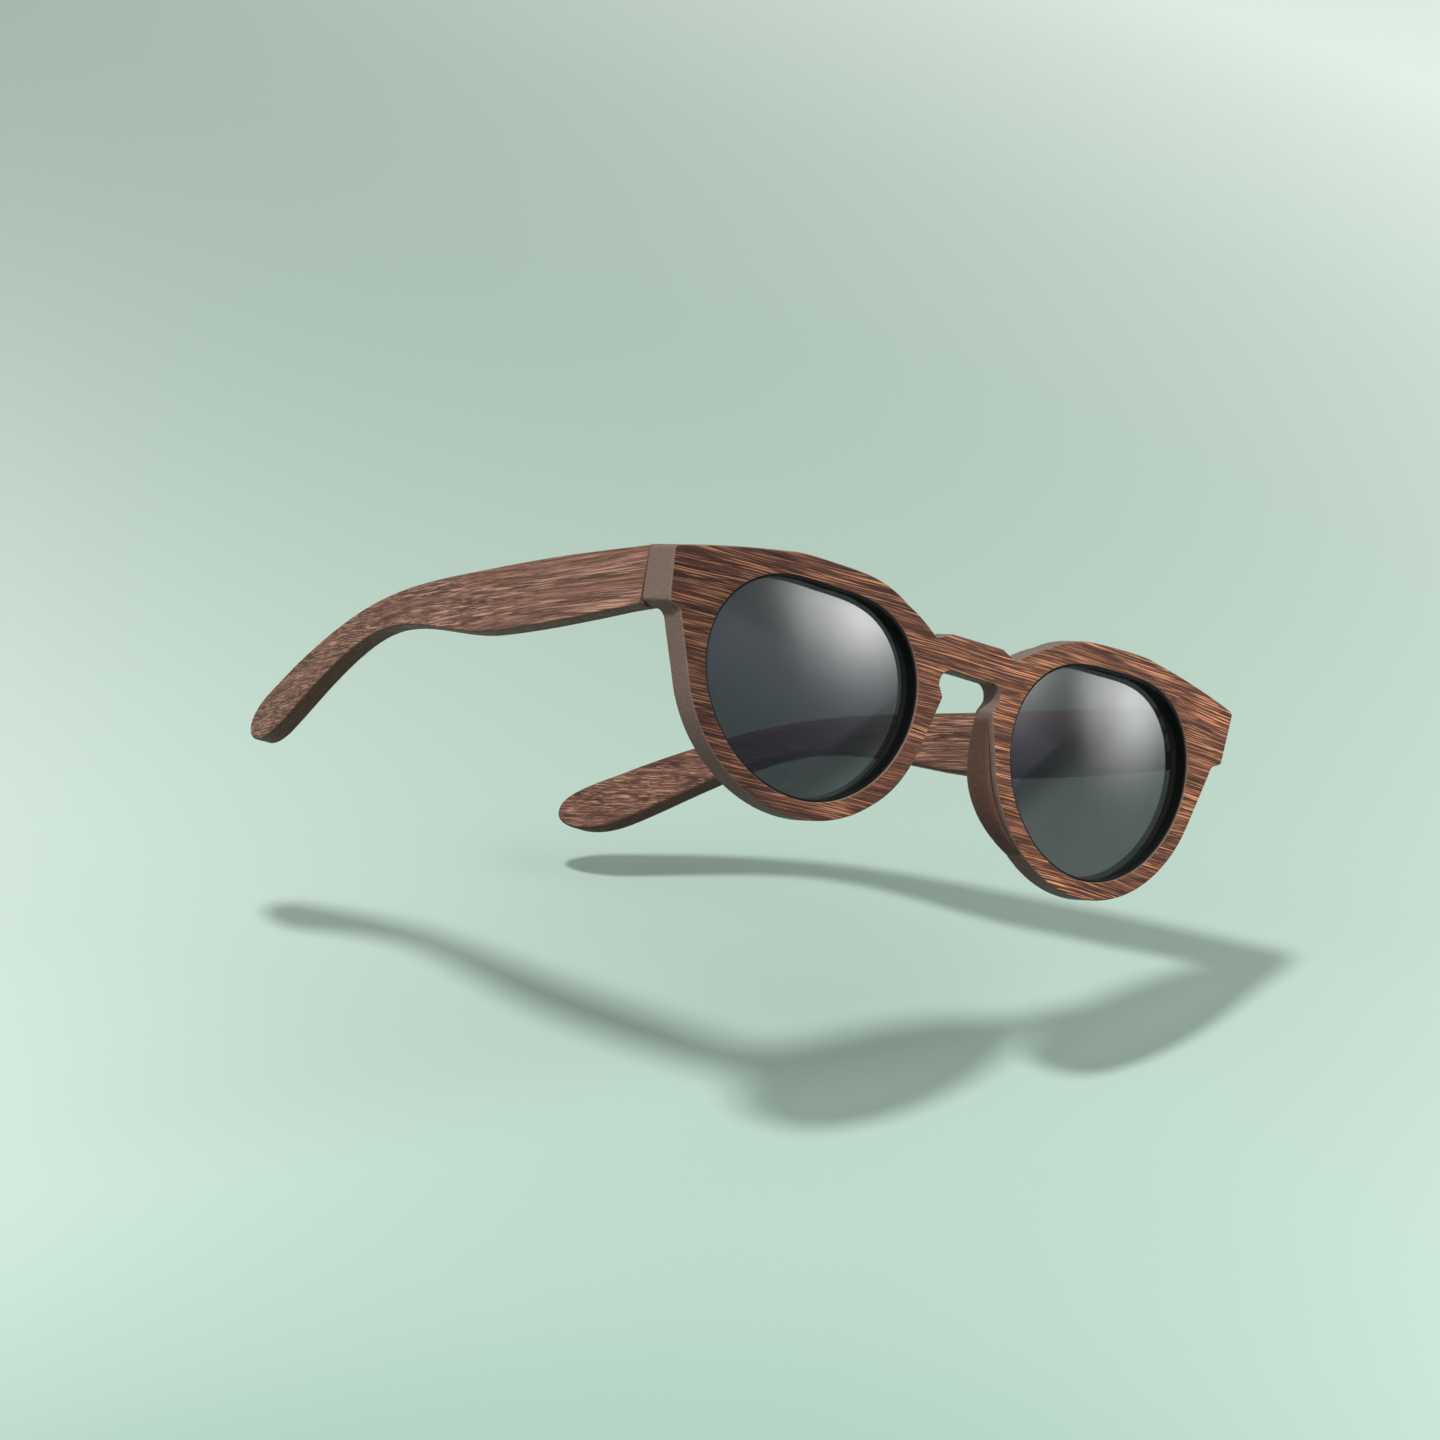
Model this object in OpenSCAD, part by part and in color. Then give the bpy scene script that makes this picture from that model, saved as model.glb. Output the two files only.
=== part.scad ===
// Wooden sunglasses: a bent wooden front with a keyhole bridge, grey lenses in black edging,
// and two bowed wooden temples on screwed barrel hinges.
// X runs across the face, Y from the front to the ear tips, Z up. All sizes are millimetres.

/* [Front] */
// Distance between the two lens openings
bridge_w = 23.6; // [21:0.2:27]
// Radius of the front's bend, seen from above
front_r = 450; // [300:5:900]
// Thickness of the rims and the bridge
front_t = 4.6; // [4.2:0.1:6]

/* [Lens opening] */
// Width of one opening
lens_w = 46.4; // [42:0.2:50]
// Height of one opening
lens_h = 37.6; // [33:0.2:43]
// How much the outline flattens on top and swells at the bottom
lens_panto = 0.9; // [0:0.1:1.5]
// How much the outline sweeps up towards the temple
lens_sweep = 0.3; // [-0.5:0.1:1]
// How much the outline squares up
lens_square = 0.15; // [0:0.05:0.6]

/* [Rims] */
// Rim above the opening
rim_top = 4.1; // [3:0.1:6]
// Rim below the opening
rim_bottom = 3.2; // [2.8:0.1:6]
// Rim beside the nose
rim_nasal = 3.7; // [3:0.1:4.5]
// Rim beside the temple
rim_temple = 3.7; // [3:0.1:5]

/* [Bridge] */
// Height of the bridge's flat top above the lens centres
bridge_top = 15.7; // [14:0.1:18]
// Width of each shoulder, from the flat top to the notch
shoulder_w = 3.5; // [2.5:0.1:5]
// Height of the notches beside the shoulders
notch_z = 14.3; // [12.5:0.1:15]
// Distance from a notch to the opening beside it
notch_in = 2.1; // [1.2:0.1:3]
// Height of the keyhole's ceiling
keyhole_top = 9.3; // [8:0.1:11]
// How far the keyhole's sides stand in from the nasal rims
keyhole_in = 0.8; // [0.3:0.1:1.5]
// Height of the keyhole's lips
lip_z = 4.5; // [3:0.1:5.5]
// How far the lips stand in from the keyhole's sides
lip_in = 1.3; // [0.8:0.1:2]

/* [Nose pads] */
// How far a pad stands out from the rim towards the nose
pad_proud = 1.2; // [0.6:0.1:2]
// How far a pad stands out behind the front
pad_back = 2.4; // [1:0.1:3]
// How far a pad starts behind the front face
pad_front = 1.2; // [0.8:0.1:2]

/* [Endpieces] */
// How far an endpiece stands out beyond the rim
endpiece_reach = 6.4; // [5.5:0.1:9]
// Height of the upper corner above the lens centres
endpiece_top = 17.6; // [15.5:0.1:20]
// Height of the lower corner
endpiece_bottom = 8; // [6:0.1:10]
// Depth from the front face to the temple joint
endpiece_depth = 7.1; // [6.5:0.1:10]
// How far the lower corner stands in from the upper one
endpiece_taper = 0.9; // [0:0.1:2]
// Step from the lower corner in to the rim
endpiece_step = 2.4; // [1.5:0.1:3.5]

/* [Temples] */
// Thickness of a temple
temple_t = 3.9; // [3.4:0.1:5]
// Length of a temple from the joint to its end, seen from the side
temple_reach = 135.5; // [132:0.5:148]
// Angle by which a temple leans in at the joint
temple_toe = 5; // [0:0.2:9]
// Radius of a temple's inward bow
temple_bow_r = 570; // [380:10:1500]
// Height at the joint
joint_h = 10.3; // [9:0.1:12]
// Height at the belly
belly_h = 11.6; // [10:0.1:15]
// Place of the belly, from the joint
belly_s = 46; // [36:1:56]
// Fall of the middle line from the joint to the belly
belly_fall = 3.7; // [2:0.1:6]
// Height at the neck, over the ear
neck_h = 6.1; // [4.5:0.1:8]
// Length from the neck to the bend
neck_l = 19; // [15:0.5:24]
// Fall of the middle line from the joint to the neck
neck_fall = 5.7; // [3:0.1:8]
// Height of the bend behind the ear
bend_h = 8; // [5:0.1:10]
// Length from the bend to the paddle
bend_l = 15; // [12:0.5:20]
// Fall of the middle line from the joint to the bend
bend_fall = 12.4; // [8:0.1:15]
// Height of the paddle at the tip
tip_h = 9.6; // [7:0.1:12]
// Length of the paddle's round end
tip_l = 13; // [10:0.5:17]
// Fall of the middle line from the joint to the paddle
tip_fall = 19.4; // [16:0.1:24]

/* [Lenses and edging] */
// Thickness of a lens
lens_t = 1.5; // [1.2:0.1:2]
// Wooden lip that holds a lens from behind
lens_lip = 0.5; // [0.4:0.1:1.2]
// How far a lens reaches into the groove
lens_bite = 1; // [0.6:0.1:1.4]
// Thickness of the black edging in the opening
edging_t = 0.4; // [0.3:0.05:0.8]
// Depth of the edging behind the front face
edging_in = 0.3; // [0.2:0.1:1.2]

/* [Hinges] */
// Height of the hinge's middle above the lens centres
hinge_z = 12.9; // [12:0.1:13.5]
// Height of the hinge barrel
barrel_h = 8; // [6:0.1:9]
// Radius of the hinge barrel
barrel_r = 1.5; // [1.3:0.05:1.6]
// Radius of the hinge screw
screw_r = 0.7; // [0.5:0.05:0.9]
// Thickness of the hinge leaves
leaf_t = 1; // [0.8:0.05:1.2]
// Reach of the front leaf from the barrel towards the nose
front_leaf_w = 3.8; // [3.4:0.1:4]
// Length of the temple leaf
temple_leaf_l = 12.5; // [10:0.5:16]
// Height of the temple leaf
temple_leaf_h = 5.2; // [4:0.1:6]
// Radius of the leaf screws' shanks
wood_screw_r = 0.5; // [0.4:0.05:0.6]
// Depth of the leaf screws in the wood
wood_screw_l = 2.6; // [1.5:0.1:2.8]

/* [Clearances] */
// Gap between a temple's end and its endpiece
joint_gap = 0.25; // [0.15:0.05:0.5]
// Gap between the hinge barrel and the temple's inner face
barrel_gap = 0.4; // [0.3:0.05:0.6]
// Gap between neighbouring knuckles
knuckle_gap = 0.1; // [0.05:0.01:0.2]
// Radial running clearance of the hinge screw
screw_gap = 0.05; // [0.02:0.01:0.08]
// Gap round pieces that are glued, snapped or let in
seat_gap = 0.05; // [0.02:0.01:0.1]

/* [Hidden] */
$fn = 64;

// Facets of the long-radius bends, and the angle between points of a lens outline
bend_fn = 720;
outline_step = 4;
corner_steps = 6;
// Cutting solids run past the surfaces that they cut by this much
past = 1;
// Larger than the whole object, for half-planes and cutters
beyond = 400;

// Colours as the finished object shows them
wood_dark = [0.36, 0.24, 0.18];
wood_mid = [0.46, 0.33, 0.27];
lens_grey = [0.36, 0.38, 0.4, 0.8];
edging_black = [0.03, 0.03, 0.03];
hinge_metal = [0.72, 0.7, 0.66];

// Depth of a lens behind the front face
lens_setback = front_t - lens_lip - lens_t - 2 * seat_gap;

// Outline of the left lens opening, seen from the front: a polar curve about the lens centre
lens_x = (bridge_w + lens_w) / 2;
lens_mean_r = (lens_w + lens_h) / 4 + lens_square;
lens_oval = (lens_w - lens_h) / 4;
function lens_radius(a) =
    lens_mean_r + lens_oval * cos(2 * a) + lens_panto * sin(3 * a)
    + lens_sweep * sin(2 * a) - lens_square * cos(4 * a);
function lens_edge(a) = [lens_x, 0] + lens_radius(a) * [cos(a), sin(a)];
function lens_normal(a) =
    let (t = lens_edge(a + 1) - lens_edge(a - 1))
    [t[1], -t[0]] / norm(t);
function lens_offset(a, d) = lens_edge(a) + d * lens_normal(a);
function lens_outline(d) = [for (a = [0 : outline_step : 360 - outline_step]) lens_offset(a, d)];

// Outer edge of the rim, whose width changes round the lens
function rim_width(a) =
    pow(sin(a), 2) * (sin(a) > 0 ? rim_top : rim_bottom)
    + pow(cos(a), 2) * (cos(a) > 0 ? rim_temple : rim_nasal);
function rim_edge(a) = lens_offset(a, rim_width(a));
rim_outline = [for (a = [0 : outline_step : 360 - outline_step]) rim_edge(a)];
rim_base = min([for (p = rim_outline) p[1]]);

// Angle of the rim point that a line from p grazes, to the left (1) or right of the lens centre
function bearing(p, q) =
    let (d = q - p, c = [lens_x, 0] - p)
    atan2(c[0] * d[1] - c[1] * d[0], c[0] * d[0] + c[1] * d[1]);
function grazing(p, side) =
    let (turns = [for (q = rim_outline) side * bearing(p, q)], most = max(turns))
    outline_step * search(most, turns)[0];

// Closed outline of [x, z, radius] corners, each rounded by an arc
function rounded_corner(p, q, s, r) =
    r == 0 ? [q] :
    let (u = (p - q) / norm(p - q),
         v = (s - q) / norm(s - q),
         half = acos(u * v) / 2,
         centre = q + (u + v) / norm(u + v) * r / sin(half),
         from = q + u * r / tan(half) - centre,
         to = q + v * r / tan(half) - centre,
         a0 = atan2(from[1], from[0]),
         turn = atan2(from[0] * to[1] - from[1] * to[0], from * to))
    [for (i = [0 : corner_steps])
        centre + r * [cos(a0 + turn * i / corner_steps), sin(a0 + turn * i / corner_steps)]];
function flat_point(p) = [p[0], p[1]];
function rounded(corners) =
    let (n = len(corners))
    [for (i = [0 : n - 1])
        each rounded_corner(flat_point(corners[(i + n - 1) % n]), flat_point(corners[i]),
                            flat_point(corners[(i + 1) % n]), corners[i][2])];

// Endpiece: a brow line that grazes the rim, two corners, and a step back to the rim
endpiece_x = lens_x + lens_w / 2 + rim_temple + endpiece_reach;
corner_r = 0.9;
step_r = 1.4;
step_fall = 0.9;
lower_x = endpiece_x - endpiece_taper;
step_point = [lower_x - endpiece_step, endpiece_bottom - step_fall];
brow_a = grazing([endpiece_x, endpiece_top], -1);
flank_a = grazing(step_point, 1) - 360;

// Bridge: a flat top between two shoulders, notches beside them, and the keyhole below
shoulder_r = 1.5;
notch_r = 1;
keyhole_r = 2.3;
lip_r = 1;
cheek_fall = 2.8;
notch_point = [bridge_w / 2 - notch_in, notch_z];
keyhole_x = bridge_w / 2 - rim_nasal - keyhole_in;
lip_point = [keyhole_x - lip_in, lip_z];
lip_a = grazing(lip_point, -1) - 360;
rim_shoulder_a = grazing(notch_point, 1);

// Left half of the front's outline, from the top of the bridge round to the keyhole's ceiling
function on_rim(a) = let (p = rim_edge(a)) [p[0], p[1], 0];
half_outline = concat(
    [[notch_point[0] - shoulder_w, bridge_top, shoulder_r]],
    [[notch_point[0], notch_point[1], notch_r]],
    [for (a = [rim_shoulder_a : -outline_step : brow_a]) on_rim(a)],
    [[endpiece_x, endpiece_top, corner_r]],
    [[lower_x, endpiece_bottom, corner_r]],
    [[step_point[0], step_point[1], step_r]],
    [for (a = [flank_a : -outline_step : lip_a]) on_rim(a)],
    [[lip_point[0], lip_point[1], lip_r]],
    [[keyhole_x, keyhole_top - cheek_fall, lip_r]],
    [[keyhole_x, keyhole_top, keyhole_r]]
);
front_outline = rounded(concat(
    half_outline,
    [for (i = [len(half_outline) - 1 : -1 : 0])
        [-half_outline[i][0], half_outline[i][1], half_outline[i][2]]]
));

// Plan of the front: y of the front face at x, and the frame of the left temple joint
function setback(x) = front_r - sqrt(pow(front_r, 2) - pow(x, 2));
along = [-sin(temple_toe), cos(temple_toe)];
outward = [cos(temple_toe), sin(temple_toe)];
joint_outer = [endpiece_x, setback(endpiece_x)] + endpiece_depth * along;
barrel_offset = barrel_r + barrel_gap;
axis_xy = joint_outer - (temple_t + barrel_offset) * outward;

// In the joint's own frame x points outward from the hinge axis and y along the temple
temple_outer_x = barrel_offset + temple_t;
function bow(y) = temple_bow_r - sqrt(pow(temple_bow_r, 2) - pow(y, 2));
tip_y = axis_xy[1] + temple_reach * cos(temple_toe)
    + (temple_outer_x - bow(temple_reach)) * sin(temple_toe);

// The object stands on its rims, with its middle on the origin
lift = [0, -tip_y / 2, -rim_base];

// Side view of a temple: middle line and height through [place, value, slope] stations
joint_mid = endpiece_top - joint_h / 2;
tip_s = temple_reach - tip_l;
bend_s = tip_s - bend_l;
neck_s = bend_s - neck_l;
end_fall = 4;
temple_mid = [
    [0, joint_mid, -0.09],
    [belly_s, joint_mid - belly_fall, -0.06],
    [neck_s, joint_mid - neck_fall, -0.23],
    [bend_s, joint_mid - bend_fall, -0.44],
    [tip_s, joint_mid - tip_fall, -0.47],
    [temple_reach, joint_mid - tip_fall - end_fall, -0.2]
];
temple_height = [
    [0, joint_h, 0.08],
    [belly_s, belly_h, -0.05],
    [neck_s, neck_h, 0.02],
    [bend_s, bend_h, 0.13],
    [tip_s, tip_h, 0],
    [temple_reach, tip_h, 0]
];
function between(p, q, s) =
    let (l = q[0] - p[0], u = (s - p[0]) / l)
    p[1] * (2 * pow(u, 3) - 3 * pow(u, 2) + 1) + q[1] * (3 * pow(u, 2) - 2 * pow(u, 3))
    + l * (p[2] * (pow(u, 3) - 2 * pow(u, 2) + u) + q[2] * (pow(u, 3) - pow(u, 2)));
function through(stations, s) =
    let (i = max([for (k = [0 : len(stations) - 2]) if (stations[k][0] <= s) k]))
    between(stations[i], stations[i + 1], s);
temple_steps = 30;
tip_steps = 10;
temple_places = concat(
    [for (i = [0 : temple_steps - 1]) tip_s * i / temple_steps],
    [for (i = [0 : tip_steps]) tip_s + (temple_reach - tip_s) * sin(90 * i / tip_steps)]
);
tip_blunt = 2.2;
function tip_round(s) =
    s <= tip_s ? 1 : pow(max(0, 1 - pow((s - tip_s) / (temple_reach - tip_s), tip_blunt)), 1 / tip_blunt);
function temple_edge(s, side) =
    [s, through(temple_mid, s) + side * tip_round(s) * through(temple_height, s) / 2];
last_place = len(temple_places) - 1;
temple_outline = concat(
    [for (s = temple_places) temple_edge(s, 1)],
    [for (i = [last_place - 1 : -1 : 0]) temple_edge(temple_places[i], -1)]
);

// Hinge sizes that follow from the others
knuckle_h = (barrel_h - 2 * knuckle_gap) / 3;
knuckle_lift = knuckle_h + knuckle_gap;
leaf_proud = 0.3;
temple_leaf_x = barrel_offset - leaf_proud;
temple_leaf_y = 0.6;
tongue_l = 1.8;
leaf_floor_y = axis_xy[1] - barrel_r - leaf_t - leaf_proud;
front_leaf_x = axis_xy[0] - front_leaf_w;
front_leaf_h = barrel_h + 0.2;
web_back = 1;
screw_head_r = 1.2;
screw_head_h = 0.6;
wood_head_r = 0.85;
wood_head_h = 0.4;
front_screw_x = front_leaf_x + wood_head_r + 0.2;
front_screw_z = 2.5;
temple_screw_ys = [temple_leaf_y + 0.36 * temple_leaf_l, temple_leaf_y + 0.78 * temple_leaf_l];

// Draws on the wearer's left side (1) or mirrored on the right (-1), lifted to the base
module on_side(side)
    translate(lift)
        if (side < 0) mirror([1, 0, 0]) children();
        else children();

// Stands a flat [x, z] outline up and runs it from y0 back to y1
module upright(y0, y1)
    translate([0, y1, 0])
        rotate([90, 0, 0])
            linear_extrude(y1 - y0) children();

// Layer of the bent front between two depths behind the front face
module bent_layer(d0, d1)
    translate([0, front_r, -beyond / 2])
        difference() {
            cylinder(h = beyond, r = front_r - d0, $fn = bend_fn);
            translate([0, 0, -past]) cylinder(h = beyond + 2 * past, r = front_r - d1, $fn = bend_fn);
        }

// Frame of the left temple joint, at the height of the hinge's middle
module at_joint()
    translate([axis_xy[0], axis_xy[1], 0])
        rotate(temple_toe) children();

module front_face() {
    difference() {
        polygon(front_outline);
        for (side = [1, -1])
            mirror([side < 0 ? 1 : 0, 0]) polygon(lens_outline(0));
    }
}

// Thick end of the front, from its front face back to the temple joint, with a cove below it
cove_r = 1.8;
cove_sink = 0.3;
module endpiece_block()
    translate([joint_outer[0] - temple_t * outward[0], joint_outer[1] - temple_t * outward[1], step_point[1]])
        rotate(temple_toe) {
            translate([0, past - endpiece_depth, 0])
                cube([temple_t, endpiece_depth - past, beyond]);
            translate([0, front_t - endpiece_depth - cove_sink, -cove_r])
                difference() {
                    translate([0, -past, 0]) cube([temple_t, past + cove_r, cove_r + past]);
                    translate([-past, cove_r, 0])
                        rotate([0, 90, 0]) cylinder(h = temple_t + 2 * past, r = cove_r);
                }
        }

// Everything that lies inside the endpiece's outer side
module inside_of_endpiece()
    translate([joint_outer[0], joint_outer[1], -beyond / 2])
        rotate(temple_toe)
            translate([-beyond, -beyond / 2, 0]) cube(beyond);

module front_blank() {
    intersection() {
        upright(-past, beyond / 4) front_face();
        union() {
            bent_layer(0, front_t);
            endpiece_block();
            mirror([1, 0, 0]) endpiece_block();
        }
        inside_of_endpiece();
        mirror([1, 0, 0]) inside_of_endpiece();
    }
}

module lens_groove() {
    intersection() {
        upright(-past, beyond / 4) polygon(lens_outline(lens_bite + seat_gap));
        bent_layer(lens_setback, lens_setback + lens_t + 2 * seat_gap);
    }
}

module front_leaf_pocket() {
    translate([front_leaf_x - seat_gap, leaf_floor_y - seat_gap, hinge_z - front_leaf_h / 2 - seat_gap])
        cube([front_leaf_w + barrel_r + 2 * seat_gap, beyond, front_leaf_h + 2 * seat_gap]);
}

module front_screw_places() {
    for (z = [-front_screw_z, front_screw_z])
        translate([front_screw_x, leaf_floor_y, hinge_z + z]) rotate([90, 0, 0]) children();
}

module front_frame() {
    color(wood_dark)
        difference() {
            translate(lift) front_blank();
            for (side = [1, -1])
                on_side(side) {
                    lens_groove();
                    front_leaf_pocket();
                    front_screw_places()
                        translate([0, 0, -leaf_t])
                            cylinder(h = wood_screw_l + leaf_t + seat_gap, r = wood_screw_r + seat_gap);
                }
        }
}

// Nasal edge under a pad, as [point, normal] pairs: the straight cheek below the lip, then the rim
pad_below_lip = 1.2;
pad_end_a = -131;
cheek_steps = 4;
cheek_l = norm(rim_edge(lip_a) - lip_point);
cheek_run = (rim_edge(lip_a) - lip_point) / cheek_l;
pad_edge = concat(
    [for (i = [0 : cheek_steps - 1])
        let (s = pad_below_lip + (cheek_l - pad_below_lip) * i / cheek_steps)
        [lip_point + s * cheek_run, [cheek_run[1], -cheek_run[0]]]],
    [for (a = [lip_a : outline_step : pad_end_a]) [rim_edge(a), lens_normal(a)]]
);

// Glued pad: a crescent along the nasal edge, whose round back runs past the front
module nose_pad(side) {
    last = len(pad_edge) - 1;
    mid_z = (pad_edge[0][0][1] + pad_edge[last][0][1]) / 2;
    half_h = pad_edge[0][0][1] - mid_z;
    round_r = (pow(half_h, 2) + pow(pad_back, 2)) / (2 * pad_back);
    swell = [for (i = [0 : last])
        pad_edge[i][0] + (seat_gap + pad_proud * sin(180 * i / last)) * pad_edge[i][1]];
    seat = [for (i = [last - 1 : -1 : 1]) pad_edge[i][0] + seat_gap * pad_edge[i][1]];
    crescent = concat(swell, seat);
    color(wood_mid)
        on_side(side)
            intersection() {
                upright(pad_front, front_t + pad_back + past) polygon(crescent);
                translate([-beyond / 2, front_t + pad_back - round_r, mid_z])
                    rotate([0, 90, 0]) cylinder(h = beyond, r = round_r);
            }
}

module lens(side) {
    color(lens_grey)
        on_side(side)
            intersection() {
                upright(-past, beyond / 4) polygon(lens_outline(lens_bite));
                bent_layer(lens_setback + seat_gap, lens_setback + lens_t + seat_gap);
            }
}

module lens_edging(side) {
    color(edging_black)
        on_side(side)
            intersection() {
                upright(-past, beyond / 4)
                    difference() {
                        polygon(lens_outline(-seat_gap));
                        polygon(lens_outline(-seat_gap - edging_t));
                    }
                bent_layer(edging_in, lens_setback);
            }
}

module temple_screw_places() {
    for (y = temple_screw_ys)
        translate([temple_leaf_x, y, hinge_z]) rotate([0, 90, 0]) children();
}

module temple(side) {
    color(wood_mid)
        on_side(side)
            at_joint()
                difference() {
                    intersection() {
                        rotate([90, 0, 90])
                            translate([0, 0, -beyond / 2])
                                linear_extrude(beyond) polygon(temple_outline);
                        translate([temple_outer_x - temple_bow_r, 0, -beyond / 2])
                            difference() {
                                cylinder(h = beyond, r = temple_bow_r, $fn = bend_fn);
                                translate([0, 0, -past])
                                    cylinder(h = beyond + 2 * past, r = temple_bow_r - temple_t, $fn = bend_fn);
                            }
                        translate([-beyond / 2, joint_gap, -beyond / 2]) cube(beyond);
                    }
                    translate([temple_leaf_x - past, 0, hinge_z - temple_leaf_h / 2 - seat_gap])
                        cube([past + leaf_t + seat_gap, temple_leaf_y + temple_leaf_l + seat_gap,
                              temple_leaf_h + 2 * seat_gap]);
                    temple_screw_places()
                        cylinder(h = leaf_t + wood_screw_l + seat_gap, r = wood_screw_r + seat_gap);
                }
}

module knuckle(z)
    translate([0, 0, hinge_z + z - knuckle_h / 2]) cylinder(h = knuckle_h, r = barrel_r);

module screw_bore()
    translate([0, 0, hinge_z - barrel_h]) cylinder(h = 2 * barrel_h, r = screw_r + screw_gap);

module front_hinge_leaf(side) {
    color(hinge_metal)
        on_side(side)
            difference() {
                union() {
                    translate([front_leaf_x, leaf_floor_y, hinge_z - front_leaf_h / 2])
                        cube([front_leaf_w + barrel_r, leaf_t, front_leaf_h]);
                    for (z = [-knuckle_lift, knuckle_lift]) {
                        translate([axis_xy[0], axis_xy[1], 0]) knuckle(z);
                        translate([axis_xy[0] - web_back, leaf_floor_y, hinge_z + z - knuckle_h / 2])
                            cube([web_back + barrel_r, axis_xy[1] - leaf_floor_y, knuckle_h]);
                    }
                }
                translate([axis_xy[0], axis_xy[1], 0]) screw_bore();
                front_screw_places()
                    translate([0, 0, -leaf_t - past])
                        cylinder(h = leaf_t + 2 * past, r = wood_screw_r + seat_gap);
            }
}

module temple_hinge_leaf(side) {
    color(hinge_metal)
        on_side(side)
            at_joint()
                difference() {
                    union() {
                        knuckle(0);
                        translate([0, joint_gap, hinge_z - knuckle_h / 2])
                            cube([temple_leaf_x + leaf_t, tongue_l, knuckle_h]);
                        translate([temple_leaf_x, temple_leaf_y, hinge_z - temple_leaf_h / 2])
                            cube([leaf_t, temple_leaf_l, temple_leaf_h]);
                    }
                    screw_bore();
                    temple_screw_places()
                        translate([0, 0, -past])
                            cylinder(h = leaf_t + 2 * past, r = wood_screw_r + seat_gap);
                }
}

// The screw is both the hinge pin and its fastener
module hinge_screw(side) {
    color(hinge_metal)
        on_side(side)
            translate([axis_xy[0], axis_xy[1], hinge_z - barrel_h / 2]) {
                cylinder(h = barrel_h + screw_head_h, r = screw_r);
                translate([0, 0, barrel_h]) cylinder(h = screw_head_h, r = screw_head_r);
            }
}

module wood_screw() {
    translate([0, 0, -wood_head_h]) cylinder(h = wood_head_h, r = wood_head_r);
    translate([0, 0, -wood_head_h]) cylinder(h = wood_head_h + leaf_t + wood_screw_l, r = wood_screw_r);
}

module front_leaf_screws(side) {
    color(hinge_metal)
        on_side(side)
            front_screw_places() translate([0, 0, -leaf_t]) wood_screw();
}

module temple_leaf_screws(side) {
    color(hinge_metal)
        on_side(side)
            at_joint() temple_screw_places() wood_screw();
}

front_frame();
nose_pad(1);  // nose_pad_left
nose_pad(-1);  // nose_pad_right
lens(1);  // lens_left
lens(-1);  // lens_right
lens_edging(1);  // lens_edging_left
lens_edging(-1);  // lens_edging_right
temple(1);  // temple_left
temple(-1);  // temple_right
front_hinge_leaf(1);  // front_hinge_leaf_left
front_hinge_leaf(-1);  // front_hinge_leaf_right
temple_hinge_leaf(1);  // temple_hinge_leaf_left
temple_hinge_leaf(-1);  // temple_hinge_leaf_right
hinge_screw(1);  // hinge_screw_left
hinge_screw(-1);  // hinge_screw_right
front_leaf_screws(1);  // front_leaf_screws_left
front_leaf_screws(-1);  // front_leaf_screws_right
temple_leaf_screws(1);  // temple_leaf_screws_left
temple_leaf_screws(-1);  // temple_leaf_screws_right
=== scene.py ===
"""Wooden sunglasses: bent wooden front, bowed wooden temples, grey lenses and small screwed hinges."""
import bmesh
import bpy
import math
import numpy as np
from mathutils import Matrix, Vector
from mathutils.geometry import delaunay_2d_cdt


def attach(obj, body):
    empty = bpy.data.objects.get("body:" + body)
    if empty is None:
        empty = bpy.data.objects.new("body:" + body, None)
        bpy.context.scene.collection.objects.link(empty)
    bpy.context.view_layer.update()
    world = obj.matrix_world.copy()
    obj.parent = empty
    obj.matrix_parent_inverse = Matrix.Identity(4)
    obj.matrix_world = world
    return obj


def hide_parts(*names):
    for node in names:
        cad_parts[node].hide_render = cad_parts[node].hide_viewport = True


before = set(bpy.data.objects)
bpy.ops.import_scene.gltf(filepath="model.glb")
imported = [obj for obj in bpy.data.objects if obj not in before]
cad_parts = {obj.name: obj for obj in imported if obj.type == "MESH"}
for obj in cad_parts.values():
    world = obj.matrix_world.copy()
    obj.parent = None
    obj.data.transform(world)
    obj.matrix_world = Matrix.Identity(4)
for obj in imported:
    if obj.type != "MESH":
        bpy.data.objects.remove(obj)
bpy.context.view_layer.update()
SIDES = (("left", 1), ("right", -1))

# Sizes of the part, in millimetres: x across, y back from the bridge, z up from the lens centres
FRONT_W = 136.6        # width over the endpieces
FRONT_R = 450.0        # radius that the front is bent on
FRONT_T = 4.6          # thickness of the front
LENS_X = 35.0          # lens centre from the middle of the front
LENS_W = 46.4          # lens opening, across
LENS_H = 37.6          # lens opening, up and down
PANTO = 0.9            # fullness of the opening at its upper corners and its bottom
SWEEP = 0.3            # lean of the opening towards its upper outer corner
SQUARE = 0.15          # fullness of the opening at all four corners
RIM_TOP = 4.1          # width of the rim above the opening
RIM_BOTTOM = 3.2       # width of the rim below it
RIM_NASAL = 3.7        # width of the rim beside the bridge
RIM_TEMPLE = 3.7       # width of the rim on the outer side
END_TOP = 17.6         # top of the endpieces
END_BOTTOM = 8.0       # bottom of the endpieces
END_DEPTH = 7.1        # depth of the endpieces, from the front face to the joint
END_TAPER = 0.9        # how far an endpiece's lower corner is drawn in
END_STEP = 2.4         # width of the step under an endpiece
STEP_DROP = 0.9        # how far that step lies below the endpiece
LENS_T = 1.5           # thickness of the lenses
LENS_LIP = 0.5         # wood behind the lens groove
LENS_BITE = 1.0        # how far a lens reaches into its groove
EDGING_T = 0.4         # thickness of the black edging
EDGING_IN = 0.3        # how far the edging starts behind the front face
SEAT = 0.05            # clearance of a piece in its seat
TEMPLE_T = 3.9         # thickness of the temples
TEMPLE_H = 10.3        # height of the temples at the joint
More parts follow.
